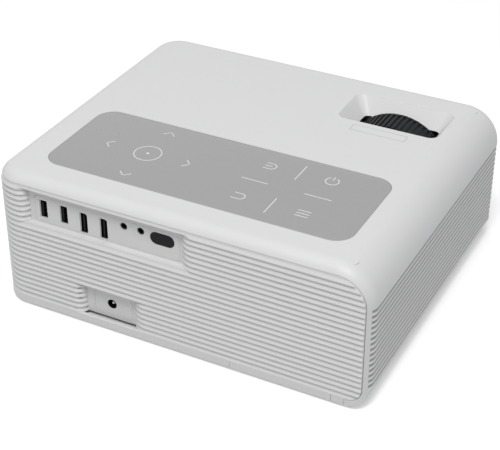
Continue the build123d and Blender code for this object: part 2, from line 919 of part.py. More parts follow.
with BuildPart() as port_plate:
    with BuildSketch(back_plane.offset(-recess_floor)):
        with Locations((port_plate_x, port_plate_z)):
            RectangleRounded(port_plate_length - seam, port_plate_height - seam, plate_round)
    extrude(amount=recess_floor)
    with BuildSketch(back_plane):
        with Locations((port_plate_x, port_plate_z)):
            RectangleRounded(
                port_plate_length + plate_flange_margin, port_plate_height + plate_flange_margin, plate_round
            )
    extrude(amount=plate_flange)
    with BuildSketch(back_plane.offset(-recess_floor)):
        with Locations(*usb_spots):
            Rectangle(usb_wide + 2 * fit_gap, usb_tall + 2 * fit_gap)
        with Locations(*video_spots):
            video_outline(fit_gap)
        with Locations(*audio_spots):
            Circle(audio_hole / 2)
        with Locations((ir_x, ir_z)):
            SlotOverall(ir_length, ir_height)
    extrude(amount=recess_floor + plate_flange, mode=Mode.SUBTRACT)
save(port_plate, "port_plate")

with BuildPart() as ir_window:
    with BuildSketch(back_plane.offset(-recess_floor)):
        with Locations((ir_x, ir_z)):
            SlotOverall(ir_length - fit_gap, ir_height - fit_gap)
    extrude(amount=recess_floor + plate_flange)
    with BuildSketch(back_plane.offset(plate_flange)):
        with Locations((ir_x, ir_z)):
            SlotOverall(ir_length + 2 * ir_flange_margin, ir_height + 2 * ir_flange_margin)
    extrude(amount=plate_flange)
save(ir_window, "ir_window")

board_face = main_board_y + board_thickness
board_plane = Plane.XZ.offset(-board_face)

with BuildPart() as main_board:
    with BuildSketch(Plane.XZ.offset(-main_board_y)):
        with Locations((main_board_x[0], main_board_z[0])):
            Rectangle(
                main_board_x[1] - main_board_x[0], main_board_z[1] - main_board_z[0],
                align=(Align.MIN, Align.MIN),
            )
    extrude(amount=-board_thickness)
    # infrared receiver soldered on behind its window
    with BuildSketch(board_plane):
        with Locations((ir_x, ir_z)):
            RectangleRounded(receiver_length, receiver_height, receiver_round)
    extrude(amount=-receiver_depth)
save(main_board, "main_board")

socket_length = recess_face - socket_inset - board_face

with BuildPart() as usb_sockets:
    with BuildSketch(board_plane):
        with Locations(*usb_spots):
            Rectangle(usb_wide, usb_tall)
    extrude(amount=-socket_length)
    with BuildSketch(board_plane.offset(-socket_back)):
        with Locations(*usb_spots):
            Rectangle(usb_wide - 2 * socket_sheet, usb_tall - 2 * socket_sheet)
        with Locations(*[(x + usb_wide / 2 - tongue_inset, usb_z) for x in usb_x]):
            Rectangle(tongue_thickness, usb_tall - tongue_margin, mode=Mode.SUBTRACT)
    extrude(amount=-socket_length, mode=Mode.SUBTRACT)
save(usb_sockets, "usb_sockets")

with BuildPart() as video_sockets:
    with BuildSketch(board_plane):
        with Locations(*video_spots):
            video_outline(0)
    extrude(amount=-socket_length)
    with BuildSketch(board_plane.offset(-socket_back)):
        with Locations(*video_spots):
            video_outline(-socket_sheet)
            Rectangle(tongue_thickness, video_tall - tongue_margin, mode=Mode.SUBTRACT)
    extrude(amount=-socket_length, mode=Mode.SUBTRACT)
save(video_sockets, "video_sockets")

plate_back = recess_back - plate_flange - fit_gap
audio_mouth = recess_face - audio_inset

with BuildPart() as audio_jacks:
    with BuildSketch(board_plane):
        with Locations(*audio_spots):
            Rectangle(audio_body, audio_body)
    extrude(amount=board_face - plate_back)
    with BuildSketch(board_plane):
        with Locations(*audio_spots):
            Circle(audio_hole / 2 - fit_gap)
    extrude(amount=board_face - audio_mouth)
    with BuildSketch(Plane.XZ.offset(-audio_mouth)):
        with Locations(*audio_spots):
            Circle(audio_bore / 2)
    extrude(amount=audio_depth, mode=Mode.SUBTRACT)
save(audio_jacks, "audio_jacks")

with BuildPart() as chip_heatsink:
    with BuildSketch(Plane.XZ.offset(-main_board_y)):
        with Locations((chip_sink_x, chip_sink_z)):
            Rectangle(chip_sink_size, chip_sink_size)
    extrude(amount=chip_sink_base)
    with BuildSketch(Plane.XZ.offset(chip_sink_base - main_board_y)):
        with Locations((chip_sink_x, chip_sink_z)):
            with GridLocations((chip_sink_size - chip_sink_fin) / (chip_sink_fins - 1), 0, chip_sink_fins, 1):
                Rectangle(chip_sink_fin, chip_sink_size)
    extrude(amount=chip_fin_length)
save(chip_heatsink, "chip_heatsink")

with BuildPart() as power_plate:
    with BuildSketch(back_plane.offset(-recess_floor)):
        with Locations((power_plate_x, dc_z)):
            RectangleRounded(power_plate_length - seam, power_plate_height - seam, plate_round)
    extrude(amount=recess_floor)
    with BuildSketch(back_plane):
        with Locations((power_plate_x, dc_z)):
            RectangleRounded(
                power_plate_length + plate_flange_margin, power_plate_height + plate_flange_margin,
                plate_round,
            )
    extrude(amount=plate_flange)
    with BuildSketch(back_plane.offset(-recess_floor)):
        with Locations((dc_x, dc_z)):
            Circle(dc_hole / 2)
    extrude(amount=recess_floor + plate_flange, mode=Mode.SUBTRACT)
save(power_plate, "power_plate")

power_face = power_board_y + board_thickness

with BuildPart() as power_board:
    with BuildSketch(Plane.XZ.offset(-power_board_y)):
        with Locations((power_board_x[0], power_board_z[0])):
            Rectangle(
                power_board_x[1] - power_board_x[0], power_board_z[1] - power_board_z[0],
                align=(Align.MIN, Align.MIN),
            )
    extrude(amount=-board_thickness)
save(power_board, "power_board")

with BuildPart() as dc_jack:
    with BuildSketch(Plane.XZ.offset(-power_face)):
        with Locations((dc_x, dc_z)):
            Rectangle(dc_body, dc_body)
    extrude(amount=power_face - plate_back)
    with BuildSketch(Plane.XZ.offset(-plate_back)):
        with Locations((dc_x, dc_z)):
            Circle(dc_bore / 2)
    extrude(amount=dc_depth, mode=Mode.SUBTRACT)
    with BuildSketch(Plane.XZ.offset(dc_pin_inset - plate_back)):
        with Locations((dc_x, dc_z)):
            Circle(dc_pin_size / 2)
    extrude(amount=dc_depth - dc_pin_inset)
save(dc_jack, "dc_jack")

# ---------------------------------------------------------------- light box and its glass
optic_rows = [
    (field_lens_x, lens_plate, optic_width, "fresnel_lenses"),
    (lcd_x, lcd_thickness, lcd_width, "lcd_panel"),
    (collimator_x, lens_plate, optic_width, "fresnel_lenses"),
    (heat_glass_x, heat_glass_thickness, optic_width, "heat_glass"),
]

with BuildPart() as engine_box:
    with BuildSketch(Plane.XY.offset(box_low)):
        box_outline(0)
    extrude(amount=box_high - box_low)
    with BuildSketch(Plane.XY.offset(inner_low)):
        box_outline(box_wall)
    extrude(amount=box_high - inner_low, mode=Mode.SUBTRACT)
    # grooved guides that the glass plates slide down into
    for x, thickness, plate_width, _ in optic_rows:
        with BuildSketch(Plane.XY.offset(inner_low)):
            with Locations((x + thickness / 2, box_front + box_wall)):
                Rectangle(thickness + 2 * guide_wall, guide_depth, align=(Align.CENTER, Align.MIN))
            with Locations((x + thickness / 2, box_rear - box_wall)):
                Rectangle(thickness + 2 * guide_wall, guide_depth, align=(Align.CENTER, Align.MAX))
            with Locations((x + thickness / 2, fold_y)):
                Rectangle(thickness, plate_width, mode=Mode.SUBTRACT)
        extrude(amount=optic_height)
    # light leaves to the lens, comes in from the lamp, and air comes in from the blower
    with BuildSketch(lens_plane.offset(-box_front)):
        Circle(light_hole)
    extrude(amount=-box_wall, mode=Mode.SUBTRACT)
    with BuildSketch(light_plane(box_right)):
        Rectangle(end_opening, end_opening)
    extrude(amount=-box_wall, mode=Mode.SUBTRACT)
    with BuildSketch(Plane.XZ.offset(-box_rear)):
        with Locations((outlet_x, lens_z)):
            Rectangle(outlet_width, outlet_height)
    extrude(amount=box_wall, mode=Mode.SUBTRACT)
save(engine_box, "engine_box")

with BuildPart() as engine_lid:
    with BuildSketch(Plane.XY.offset(box_high)):
        box_outline(0)
    extrude(amount=box_wall)
save(engine_lid, "engine_lid")

for label in ("fresnel_lenses", "lcd_panel", "heat_glass"):
    with BuildPart() as plate:
        with BuildSketch(Plane.XY.offset(inner_low)):
            for x, thickness, plate_width, node in optic_rows:
                if node == label:
                    with Locations((x + thickness / 2, fold_y)):
                        Rectangle(thickness, plate_width)
        extrude(amount=optic_height)
    save(plate, label)

mirror_plane = Plane(
    origin=(lens_x, fold_y, inner_low + optic_height / 2),
    x_dir=(half_root, half_root, 0),
    z_dir=(half_root, -half_root, 0),
)

with BuildPart() as fold_mirror:
    with BuildSketch(mirror_plane):
        Rectangle(mirror_length, optic_height)
    extrude(amount=-mirror_thickness)
save(fold_mirror, "fold_mirror")

with BuildPart() as light_cone:
    for grow, mode in ((cone_wall, Mode.ADD), (0, Mode.SUBTRACT)):
        with BuildSketch(light_plane(cone_start)):
            Rectangle(cone_mouth_width + 2 * grow, cone_mouth_height + 2 * grow)
        with BuildSketch(light_plane(box_right - box_wall)):
            Rectangle(cone_throat + 2 * grow, cone_throat + 2 * grow)
        loft(mode=mode)
save(light_cone, "light_cone")

with BuildPart() as led_module:
    with BuildSketch(light_plane(led_x)):
        Rectangle(led_plate, led_plate)
    extrude(amount=led_plate_thickness)
    with BuildSketch(light_plane(led_x)):
        Rectangle(led_chip, led_chip)
    extrude(amount=-led_chip_height)
save(led_module, "led_module")

condenser_seat = Plane(origin=(led_x - led_chip_height, fold_y, lens_z), x_dir=(0, 1, 0), z_dir=(-1, 0, 0))
condenser_lens = round_lens(condenser_seat, condenser_radius, condenser_rim, condenser_bulge)
save(condenser_lens, "condenser_lens")

with BuildPart() as heat_sink:
    with BuildSketch(light_plane(sink_x)):
        Rectangle(sink_width, sink_height)
    extrude(amount=sink_base)
    with BuildSketch(light_plane(sink_x + sink_base)):
        with GridLocations((sink_width - sink_fin) / (sink_fins - 1), 0, sink_fins, 1):
            Rectangle(sink_fin, sink_height)
    extrude(amount=sink_fin_length)
save(heat_sink, "heat_sink")

# ---------------------------------------------------------------- exhaust fan and duct, light box blower
fan_bore = fan_size / 2 - fan_rim
fan_back = fan_x + fan_thickness

with BuildPart() as exhaust_fan_frame:
    with BuildSketch(light_plane(fan_x)):
        RectangleRounded(fan_size, fan_size, fan_corner)
        Circle(fan_bore, mode=Mode.SUBTRACT)
    extrude(amount=fan_thickness)
    with BuildSketch(light_plane(fan_back - fan_seat)):
        Circle(fan_hub)
        with PolarLocations(0, fan_struts):
            Rectangle(fan_bore + fan_rim / 2, fan_strut, align=(Align.MIN, Align.CENTER))
    extrude(amount=fan_seat)
    with BuildSketch(light_plane(fan_x + fan_end_gap + fan_cap + fan_end_gap)):
        Circle(fan_pin)
    extrude(amount=fan_thickness - fan_seat - fan_end_gap - fan_cap - fan_end_gap)
save(exhaust_fan_frame, "exhaust_fan_frame")

impeller_length = fan_thickness - fan_seat - 2 * fan_end_gap
blade_middle = fan_x + fan_end_gap + impeller_length / 2

blade_plane = Plane(origin=(blade_middle, fold_y, lens_z), x_dir=(1, 0, 0), z_dir=(0, 1, 0))

with BuildPart() as fan_blade:
    for radius, chord, pitch in (
        (fan_hub - fan_rim, blade_root_chord, blade_root_pitch),
        (fan_bore - fan_tip_gap, blade_tip_chord, blade_tip_pitch),
    ):
        with BuildSketch(blade_plane.offset(radius)):
            Rectangle(chord, blade_thickness, rotation=pitch)
    loft()

with BuildPart() as exhaust_impeller:
    with BuildSketch(light_plane(fan_x + fan_end_gap)):
        Circle(fan_hub)
    extrude(amount=impeller_length)
    for turn in range(fan_blades):
        add(fan_blade.part.rotate(Axis((0, fold_y, lens_z), (1, 0, 0)), turn * 360 / fan_blades))
    with BuildSketch(light_plane(fan_x + fan_end_gap + fan_cap)):
        Circle(fan_pin + spindle_gap)
    extrude(amount=impeller_length - fan_cap, mode=Mode.SUBTRACT)
save(exhaust_impeller, "exhaust_impeller")

with BuildPart() as exhaust_duct:
    with BuildSketch(light_plane(fan_back)):
        Rectangle(fan_size, fan_size)
        Rectangle(fan_size - 2 * duct_wall, fan_size - 2 * duct_wall, mode=Mode.SUBTRACT)
    extrude(amount=half_width - louvre_wall - fan_back)
save(exhaust_duct, "exhaust_duct")

blower_plane = Plane.XZ.offset(-box_rear)
blower_spot = (blower_x, lens_z)

with BuildPart() as blower_case:
    with BuildSketch(blower_plane):
        with Locations(blower_spot):
            RectangleRounded(blower_size, blower_size, blower_corner)
    extrude(amount=-blower_thickness)
    with BuildSketch(blower_plane.offset(-blower_wall)):
        with Locations(blower_spot):
            Circle(blower_chamber)
        with Locations((outlet_x - outlet_width / 2, lens_z)):
            Rectangle(blower_x - outlet_x, outlet_height, align=(Align.MIN, Align.CENTER))
    extrude(amount=2 * blower_wall - blower_thickness, mode=Mode.SUBTRACT)
    with BuildSketch(blower_plane.offset(-blower_thickness)):
        with Locations(blower_spot):
            Circle(blower_inlet)
    extrude(amount=blower_wall, mode=Mode.SUBTRACT)
    with BuildSketch(blower_plane):
        with Locations((outlet_x, lens_z)):
            Rectangle(outlet_width, outlet_height)
    extrude(amount=-blower_wall, mode=Mode.SUBTRACT)
    with BuildSketch(blower_plane.offset(-blower_wall)):
        with Locations(blower_spot):
            Circle(fan_pin)
    extrude(amount=-blower_pin_length)
save(blower_case, "blower_case")

wheel_plane = blower_plane.offset(-blower_wall - fan_end_gap)
wheel_length = blower_thickness - 2 * blower_wall - 2 * fan_end_gap

with BuildPart() as blower_impeller:
    with BuildSketch(wheel_plane):
        with Locations(blower_spot):
            Circle(blower_wheel)
    extrude(amount=-blade_thickness)
    with BuildSketch(wheel_plane):
        with Locations(blower_spot):
            Circle(blower_hub)
            with PolarLocations(blower_wheel - blower_blade / 2, blower_fins):
                Rectangle(blower_blade, blade_thickness, rotation=blower_pitch)
    extrude(amount=-wheel_length)
    with BuildSketch(wheel_plane):
        with Locations(blower_spot):
            Circle(fan_pin + spindle_gap)
    extrude(amount=-blower_pin_length, mode=Mode.SUBTRACT)
save(blower_impeller, "blower_impeller")

# ---------------------------------------------------------------- lens and its focus wheel
collar_front = ring_back + running_gap
collar_back = box_front - sleeve_flange
collar_top = z_top - funnel_depth - running_gap

with BuildPart() as lens_mount:
    with BuildSketch(lens_plane.offset(-box_front)):
        Rectangle(flange_width, flange_height)
    extrude(amount=sleeve_flange)
    with BuildSketch(lens_plane.offset(-collar_back)):
        Circle(sleeve_collar)
    extrude(amount=collar_back - collar_front)
    # flat on the collar that passes under the recess in the top
    with BuildSketch(Plane.XY.offset(collar_top)):
        with Locations((lens_x, collar_back)):
            Rectangle(2 * sleeve_collar, collar_back - collar_front, align=(Align.CENTER, Align.MAX))
    extrude(amount=sleeve_collar, mode=Mode.SUBTRACT)
    with BuildSketch(lens_plane.offset(-collar_front)):
        Circle(sleeve_radius)
    extrude(amount=collar_front - sleeve_front)
    with BuildSketch(lens_plane.offset(-box_front)):
        Circle(sleeve_bore)
    extrude(amount=box_front - sleeve_front, mode=Mode.SUBTRACT)
    with BuildSketch(Plane.XY.offset(lens_z - sleeve_radius)):
        with Locations((lens_x, focus_pin_y)):
            SlotOverall(focus_slot_length, focus_slot_width, rotation=90)
    extrude(amount=2 * sleeve_wall, mode=Mode.SUBTRACT)
save(lens_mount, "lens_mount")

with BuildPart() as ring_retainer:
    with BuildSketch(lens_plane.offset(running_gap - ring_front)):
        Circle(retainer_radius)
        Circle(sleeve_radius + spindle_gap, mode=Mode.SUBTRACT)
    extrude(amount=retainer_thickness)
save(ring_retainer, "ring_retainer")

with BuildPart() as focus_ring:
    with BuildSketch(lens_plane.offset(-ring_back)):
        Circle(ring_radius)
        with PolarLocations(ring_radius, ring_ribs):
            Rectangle(2 * rib_depth, rib_groove, mode=Mode.SUBTRACT)
    extrude(amount=ring_length - ring_rim)
    with BuildSketch(lens_plane.offset(-ring_front - ring_rim)):
        Circle(ring_radius)
    extrude(amount=ring_rim)
    with BuildSketch(lens_plane.offset(-ring_back)):
        Circle(ring_bore)
    extrude(amount=ring_length, mode=Mode.SUBTRACT)
    front_edges = focus_ring.edges().filter_by(GeomType.CIRCLE).group_by(Axis.Y)[0]
    chamfer(front_edges.sort_by(SortBy.RADIUS)[-1], ring_bevel)
save(focus_ring, "focus_ring")

with BuildPart() as lens_barrel:
    with BuildSketch(lens_plane.offset(-barrel_front)):
        Circle(barrel_radius)
        Circle(barrel_bore, mode=Mode.SUBTRACT)
    extrude(amount=-barrel_length)
    with BuildSketch(lens_plane.offset(-barrel_front)):
        Circle(barrel_radius - barrel_wall)
    extrude(amount=-front_glass_seat, mode=Mode.SUBTRACT)
    with BuildSketch(lens_plane.offset(-barrel_front - barrel_length)):
        Circle(rear_glass_radius + glass_gap)
    extrude(amount=rear_glass_thickness, mode=Mode.SUBTRACT)
    with BuildSketch(Plane.XY.offset(lens_z - barrel_radius - focus_pin_sink)):
        with Locations((lens_x, focus_pin_y)):
            Circle(focus_pin_radius)
    extrude(amount=2 * focus_pin_sink, mode=Mode.SUBTRACT)
save(lens_barrel, "lens_barrel")

front_glass = round_lens(
    lens_plane.offset(-barrel_front - front_glass_seat),
    barrel_radius - barrel_wall - glass_gap, front_glass_rim, front_glass_bulge,
)
save(front_glass, "front_glass")

with BuildPart() as rear_glass:
    with BuildSketch(lens_plane.offset(-barrel_front - barrel_length)):
        Circle(rear_glass_radius)
    extrude(amount=rear_glass_thickness)
save(rear_glass, "rear_glass")

with BuildPart() as focus_pin:
    with BuildSketch(Plane.XY.offset(lens_z - sleeve_radius + running_gap)):
        with Locations((lens_x, focus_pin_y)):
            Circle(focus_pin_radius)
    extrude(amount=sleeve_radius - running_gap - barrel_radius + focus_pin_sink)
save(focus_pin, "focus_pin")

with BuildPart() as lens_bezel:
    with BuildSketch(lens_plane.offset(half_depth)):
        Circle(bezel_outer)
    extrude(amount=-bezel_flange)
    with BuildSketch(lens_plane.offset(half_depth)):
        Circle(bezel_hole - fit_gap)
    extrude(amount=-bezel_tube)
    with BuildSketch(lens_plane.offset(half_depth)):
        Circle(bezel_inner)
    extrude(amount=-bezel_tube, mode=Mode.SUBTRACT)
save(lens_bezel, "lens_bezel")

# ---------------------------------------------------------------- speakers and lamp driver
def speaker_plane(inset):
    """Plane of the two speakers, a given depth behind the front wall's inner side; its normal is +Y."""
    return Plane(origin=(0, louvre_wall - half_depth + inset, speaker_z), x_dir=(1, 0, 0), z_dir=(0, 1, 0))


speaker_spots = [(x, 0) for x in speaker_x]

with BuildPart() as speaker_frames:
    with BuildSketch(speaker_plane(0)):
        with Locations(*speaker_spots):
            RectangleRounded(speaker_frame, speaker_frame, speaker_corner)
    extrude(amount=speaker_plate)
    with BuildSketch(speaker_plane(0)):
        with Locations(*speaker_spots):
            Circle(speaker_bore + basket_wall)
    extrude(amount=basket_depth)
    with BuildSketch(speaker_plane(0)):
        with Locations(*speaker_spots):
            Circle(speaker_bore)
    extrude(amount=basket_depth - basket_wall, mode=Mode.SUBTRACT)
    with BuildSketch(speaker_plane(0)):
        with Locations(*speaker_spots):
            Circle(basket_hole)
    extrude(amount=basket_depth, mode=Mode.SUBTRACT)
save(speaker_frames, "speaker_frames")

with BuildPart() as speaker_cones:
    for x in speaker_x:
        cone_seat = (x, louvre_wall - half_depth, speaker_z)
        with BuildSketch(Plane(origin=cone_seat, x_dir=(1, 0, 0), z_dir=(0, 0, -1))):
            with BuildLine():
                cone_back = basket_depth - 2 * basket_wall
                Polyline(
                    (speaker_bore, 0), (speaker_bore, -cone_edge), (dust_cap + cone_edge, -cone_back),
                    (0, -cone_back), (0, cone_edge - cone_back), (dust_cap, cone_edge - cone_back),
                    (speaker_bore - 2 * cone_edge, 0), close=True,
                )
            make_face()
        revolve(axis=Axis((x, 0, speaker_z), (0, 1, 0)))
save(speaker_cones, "speaker_cones")

with BuildPart() as speaker_magnets:
    with BuildSketch(speaker_plane(basket_depth)):
        with Locations(*speaker_spots):
            Circle(magnet_radius)
    extrude(amount=magnet_height)
save(speaker_magnets, "speaker_magnets")

with BuildPart() as led_driver_board:
    with BuildSketch(Plane.XY.offset(driver_board_z)):
        with Locations((driver_board_x[0], driver_board_y[0])):
            Rectangle(
                driver_board_x[1] - driver_board_x[0], driver_board_y[1] - driver_board_y[0],
                align=(Align.MIN, Align.MIN),
            )
    extrude(amount=board_thickness)
save(led_driver_board, "led_driver_board")

with BuildPart() as driver_coils:
    with BuildSketch(Plane.XY.offset(driver_board_z + board_thickness)):
        with Locations(*coil_spots):
            Circle(coil_radius)
            Circle(coil_bore, mode=Mode.SUBTRACT)
    extrude(amount=coil_height)
    fillet(driver_coils.edges().filter_by(GeomType.CIRCLE).group_by(Axis.Z)[-1], coil_round)
save(driver_coils, "driver_coils")

with BuildPart() as driver_capacitors:
    with BuildSketch(Plane.XY.offset(driver_board_z + board_thickness)):
        with Locations(*capacitor_spots):
            Circle(capacitor_radius)
    extrude(amount=capacitor_height)
    fillet(driver_capacitors.edges().filter_by(GeomType.CIRCLE).group_by(Axis.Z)[-1], capacitor_round)
save(driver_capacitors, "driver_capacitors")

# ---------------------------------------------------------------- disc drive
cover_low = drive_low + drive_height - sheet

with BuildPart() as drive_case:
    with BuildSketch(Plane.XY.offset(drive_low)):
        with Locations((drive_back, drive_y)):
            Rectangle(drive_front - drive_back, 2 * drive_half, align=(Align.MIN, Align.CENTER))
    extrude(amount=drive_height - sheet)
    with BuildSketch(Plane.XY.offset(drive_low + sheet)):
        with Locations((drive_back + sheet, drive_y)):
            Rectangle(drive_front - drive_back, 2 * case_inner, align=(Align.MIN, Align.CENTER))
    extrude(amount=drive_height, mode=Mode.SUBTRACT)
save(drive_case, "drive_case")

with BuildPart() as drive_cover:
    with BuildSketch(Plane.XY.offset(cover_low)):
        with Locations((drive_back, drive_y)):
            Rectangle(drive_front - drive_back, 2 * drive_half, align=(Align.MIN, Align.CENTER))
    extrude(amount=sheet)
save(drive_cover, "drive_cover")

with BuildPart() as tray_rails:
    with BuildSketch(Plane.XY.offset(tray_low + rail_lift)):
        with Locations((rail_start, drive_y + rail_outer)):
            Rectangle(rail_length, rail_thickness, align=(Align.MIN, Align.MAX))
        with Locations((rail_start, drive_y - rail_outer)):
            Rectangle(rail_length, rail_thickness, align=(Align.MIN, Align.MIN))
    extrude(amount=rail_height)
save(tray_rails, "tray_rails")

with BuildPart() as disc_tray:
    with BuildSketch(Plane.XY.offset(tray_low)):
        with Locations((tray_back, drive_y)):
            Rectangle(tray_front - tray_back, 2 * tray_half, align=(Align.MIN, Align.CENTER))
    extrude(amount=tray_thickness)
    with BuildSketch(Plane.XY.offset(tray_top)):
        with Locations((disc_x, drive_y)):
            Circle(disc_well_radius)
    extrude(amount=-disc_well_depth, mode=Mode.SUBTRACT)
    with BuildSketch(mech_plane.offset(tray_low)):
        with Locations((mech_slot_start, 0)):
            Rectangle(mech_slot_end - mech_slot_start, mech_slot_width, align=(Align.MIN, Align.CENTER))
    extrude(amount=tray_thickness, mode=Mode.SUBTRACT)
save(disc_tray, "disc_tray")

rod_z = tray_low + rod_lift


def rod_plane(start):
    """Plane across the pickup's rods at a place along them."""
    return Plane(
        origin=(disc_x - half_root * start, drive_y + half_root * start, rod_z),
        x_dir=(half_root, half_root, 0),
        z_dir=(-half_root, half_root, 0),
    )


with BuildPart() as mech_plate:
    with BuildSketch(mech_plane.offset(mech_low)):
        with Locations((mech_slot_start - mech_plate_margin, 0)):
            Rectangle(
                mech_slot_end - mech_slot_start + 2 * mech_plate_margin,
                mech_slot_width + 2 * mech_plate_margin,
                align=(Align.MIN, Align.CENTER),
            )
    extrude(amount=mech_plate_thickness)
    with BuildSketch(mech_plane.offset(tray_low)):
        with Locations((rod_start, 0), (rod_end - rod_support, 0)):
            Rectangle(rod_support, rod_support_width, align=(Align.MIN, Align.CENTER))
    extrude(amount=rod_support_height)
    with BuildSketch(rod_plane(rod_start)):
        with Locations((-rod_spread, 0), (rod_spread, 0)):
            Circle(rod_radius)
    extrude(amount=rod_end - rod_start, mode=Mode.SUBTRACT)
save(mech_plate, "mech_plate")

with BuildPart() as sled_rods:
    with BuildSketch(rod_plane(rod_start)):
        with Locations((-rod_spread, 0), (rod_spread, 0)):
            Circle(rod_radius)
    extrude(amount=rod_end - rod_start)
save(sled_rods, "sled_rods")

with BuildPart() as pickup_sled:
    with BuildSketch(mech_plane.offset(tray_low + sled_lift)):
        with Locations((sled_start, 0)):
            RectangleRounded(sled_length, sled_width, rod_radius)
    extrude(amount=sled_height)
    with BuildSketch(mech_plane.offset(tray_low + sled_lift + sled_height)):
        with Locations((sled_start, 0)):
            Circle(pickup_lens)
    extrude(amount=pickup_lens_height)
    with BuildSketch(rod_plane(rod_start)):
        with Locations((-rod_spread, 0), (rod_spread, 0)):
            Circle(rod_radius + rod_gap)
    extrude(amount=rod_end - rod_start, mode=Mode.SUBTRACT)
save(pickup_sled, "pickup_sled")

with BuildPart() as spindle_motor:
    with BuildSketch(mech_plane.offset(tray_low)):
        Circle(motor_radius)
        Circle(spindle_radius + spindle_gap, mode=Mode.SUBTRACT)
    extrude(amount=motor_height)
save(spindle_motor, "spindle_motor")

table_low = tray_low + motor_height + running_gap

with BuildPart() as spindle_hub:
    with BuildSketch(mech_plane.offset(table_low)):
        Circle(hub_table)
    extrude(amount=hub_table_thickness)
    with BuildSketch(mech_plane.offset(table_low + hub_table_thickness)):
        Circle(hub_radius)
    extrude(amount=hub_height)
    chamfer(spindle_hub.edges().group_by(Axis.Z)[-1], hub_bevel)
    with BuildSketch(mech_plane.offset(table_low)):
        Circle(spindle_radius)
    extrude(amount=-motor_height)
save(spindle_hub, "spindle_hub")

bezel_low = z_shell_low + seam
bezel_half = mouth_half - seam
eject_plane = Plane.YZ.offset(tray_front + eject_pocket)
eject_spot = (eject_y, louvre_z(louvre_count - bezel_rows + 1) - louvre_pitch / 2)

with BuildPart() as tray_bezel:
    with BuildSketch(Plane.YZ.offset(tray_front)):
        with Locations((drive_y, bezel_low)):
            Rectangle(2 * bezel_half, bezel_top - seam - bezel_low, align=(Align.CENTER, Align.MIN))
    extrude(amount=half_width - tray_front)
    with BuildSketch(Plane.XZ.offset(-drive_y - mouth_half)):
        for line in range(louvre_count - bezel_rows, louvre_count):
            with BuildLine():
                Polyline(*[(half_width + out, height) for height, out in groove_points(line)], close=True)
            make_face()
    extrude(amount=2 * mouth_half, mode=Mode.SUBTRACT)
    with BuildSketch(eject_plane):
        with Locations(eject_spot):
            SlotOverall(eject_length + 2 * fit_gap, eject_height + 2 * fit_gap)
    extrude(amount=half_width - tray_front, mode=Mode.SUBTRACT)
    with BuildSketch(eject_plane):
        with Locations(eject_spot):
            SlotOverall(eject_length + 2 * eject_margin, eject_height + 2 * eject_margin)
    extrude(amount=-eject_pocket, mode=Mode.SUBTRACT)
save(tray_bezel, "tray_bezel")

flange_margin = eject_margin - fit_gap

with BuildPart() as eject_button:
    with BuildSketch(eject_plane.offset(-eject_rest_gap)):
        with Locations(eject_spot):
            SlotOverall(eject_length, eject_height)
    extrude(amount=half_width - eject_inset - tray_front - eject_pocket + eject_rest_gap)
    with BuildSketch(eject_plane.offset(-eject_rest_gap)):
        with Locations(eject_spot):
            SlotOverall(eject_length + 2 * flange_margin, eject_height + 2 * flange_margin)
    extrude(amount=-eject_flange)
save(eject_button, "eject_button")
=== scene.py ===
"""Finishes, small fittings and stage for a desktop projector with a disc drive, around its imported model.

Metres. +Z is up, the lens looks along -Y and the sockets are on the +Y side.
"""

import json
import math

import bmesh
import bpy
from mathutils import Matrix, Vector


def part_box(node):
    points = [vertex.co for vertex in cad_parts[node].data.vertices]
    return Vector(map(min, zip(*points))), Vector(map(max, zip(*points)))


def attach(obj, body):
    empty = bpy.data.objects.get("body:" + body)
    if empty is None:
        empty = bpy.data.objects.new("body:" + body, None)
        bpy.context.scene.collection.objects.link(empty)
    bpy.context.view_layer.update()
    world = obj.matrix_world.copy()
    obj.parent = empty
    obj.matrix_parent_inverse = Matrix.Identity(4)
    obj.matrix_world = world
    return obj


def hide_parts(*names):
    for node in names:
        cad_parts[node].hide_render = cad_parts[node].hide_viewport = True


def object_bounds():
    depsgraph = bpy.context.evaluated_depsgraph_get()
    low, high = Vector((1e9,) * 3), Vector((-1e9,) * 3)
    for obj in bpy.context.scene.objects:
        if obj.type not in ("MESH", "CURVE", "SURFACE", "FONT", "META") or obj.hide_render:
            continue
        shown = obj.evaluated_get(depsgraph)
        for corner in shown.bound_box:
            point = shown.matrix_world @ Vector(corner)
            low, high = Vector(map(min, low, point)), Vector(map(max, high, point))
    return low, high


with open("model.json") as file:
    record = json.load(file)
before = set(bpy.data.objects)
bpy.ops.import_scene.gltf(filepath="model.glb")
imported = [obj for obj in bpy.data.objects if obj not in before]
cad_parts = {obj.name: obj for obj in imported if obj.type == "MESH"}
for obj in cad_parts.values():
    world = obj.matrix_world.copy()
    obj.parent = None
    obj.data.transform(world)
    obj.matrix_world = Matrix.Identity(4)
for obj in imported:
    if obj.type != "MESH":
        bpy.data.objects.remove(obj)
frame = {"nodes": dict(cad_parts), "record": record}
cad_low, cad_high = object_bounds()

bl_info = {
    "name": "Projector with Disc Drive",
    "version": (1, 0, 0),
    "blender": (4, 5, 0),
    "location": "3D View > Sidebar > Projector",
    "description": "Dresses the packed model of a desktop projector and lights it",
    "category": "Object",
}

MM = 0.001
TOP = cad_high.z
# the printed faces lie just under the top, so that nothing stands proud of the housing
FACE_TOP = TOP - 0.05 * MM
PRINT_TOP = TOP - 0.01 * MM
PANEL_CORNER = 13 * MM
USB_WIDTH = 5.7 * MM
VIDEO_WIDTH = 5.6 * MM

# middles of the symbols, in millimetres from the touch panel's middle
RING_PLACE = (51.3, 0.4)
KEYS_PLACE = (-48.9, -0.8)
SOURCE_PLACE = (-27.5, -21.6)
BACK_PLACE = (-26.4, 20.4)
POWER_PLACE = (-71.1, -22.4)
MENU_PLACE = (-70.9, 20.8)
FOUR_WAYS = ((0, -1), (1, 0), (0, 1), (-1, 0))

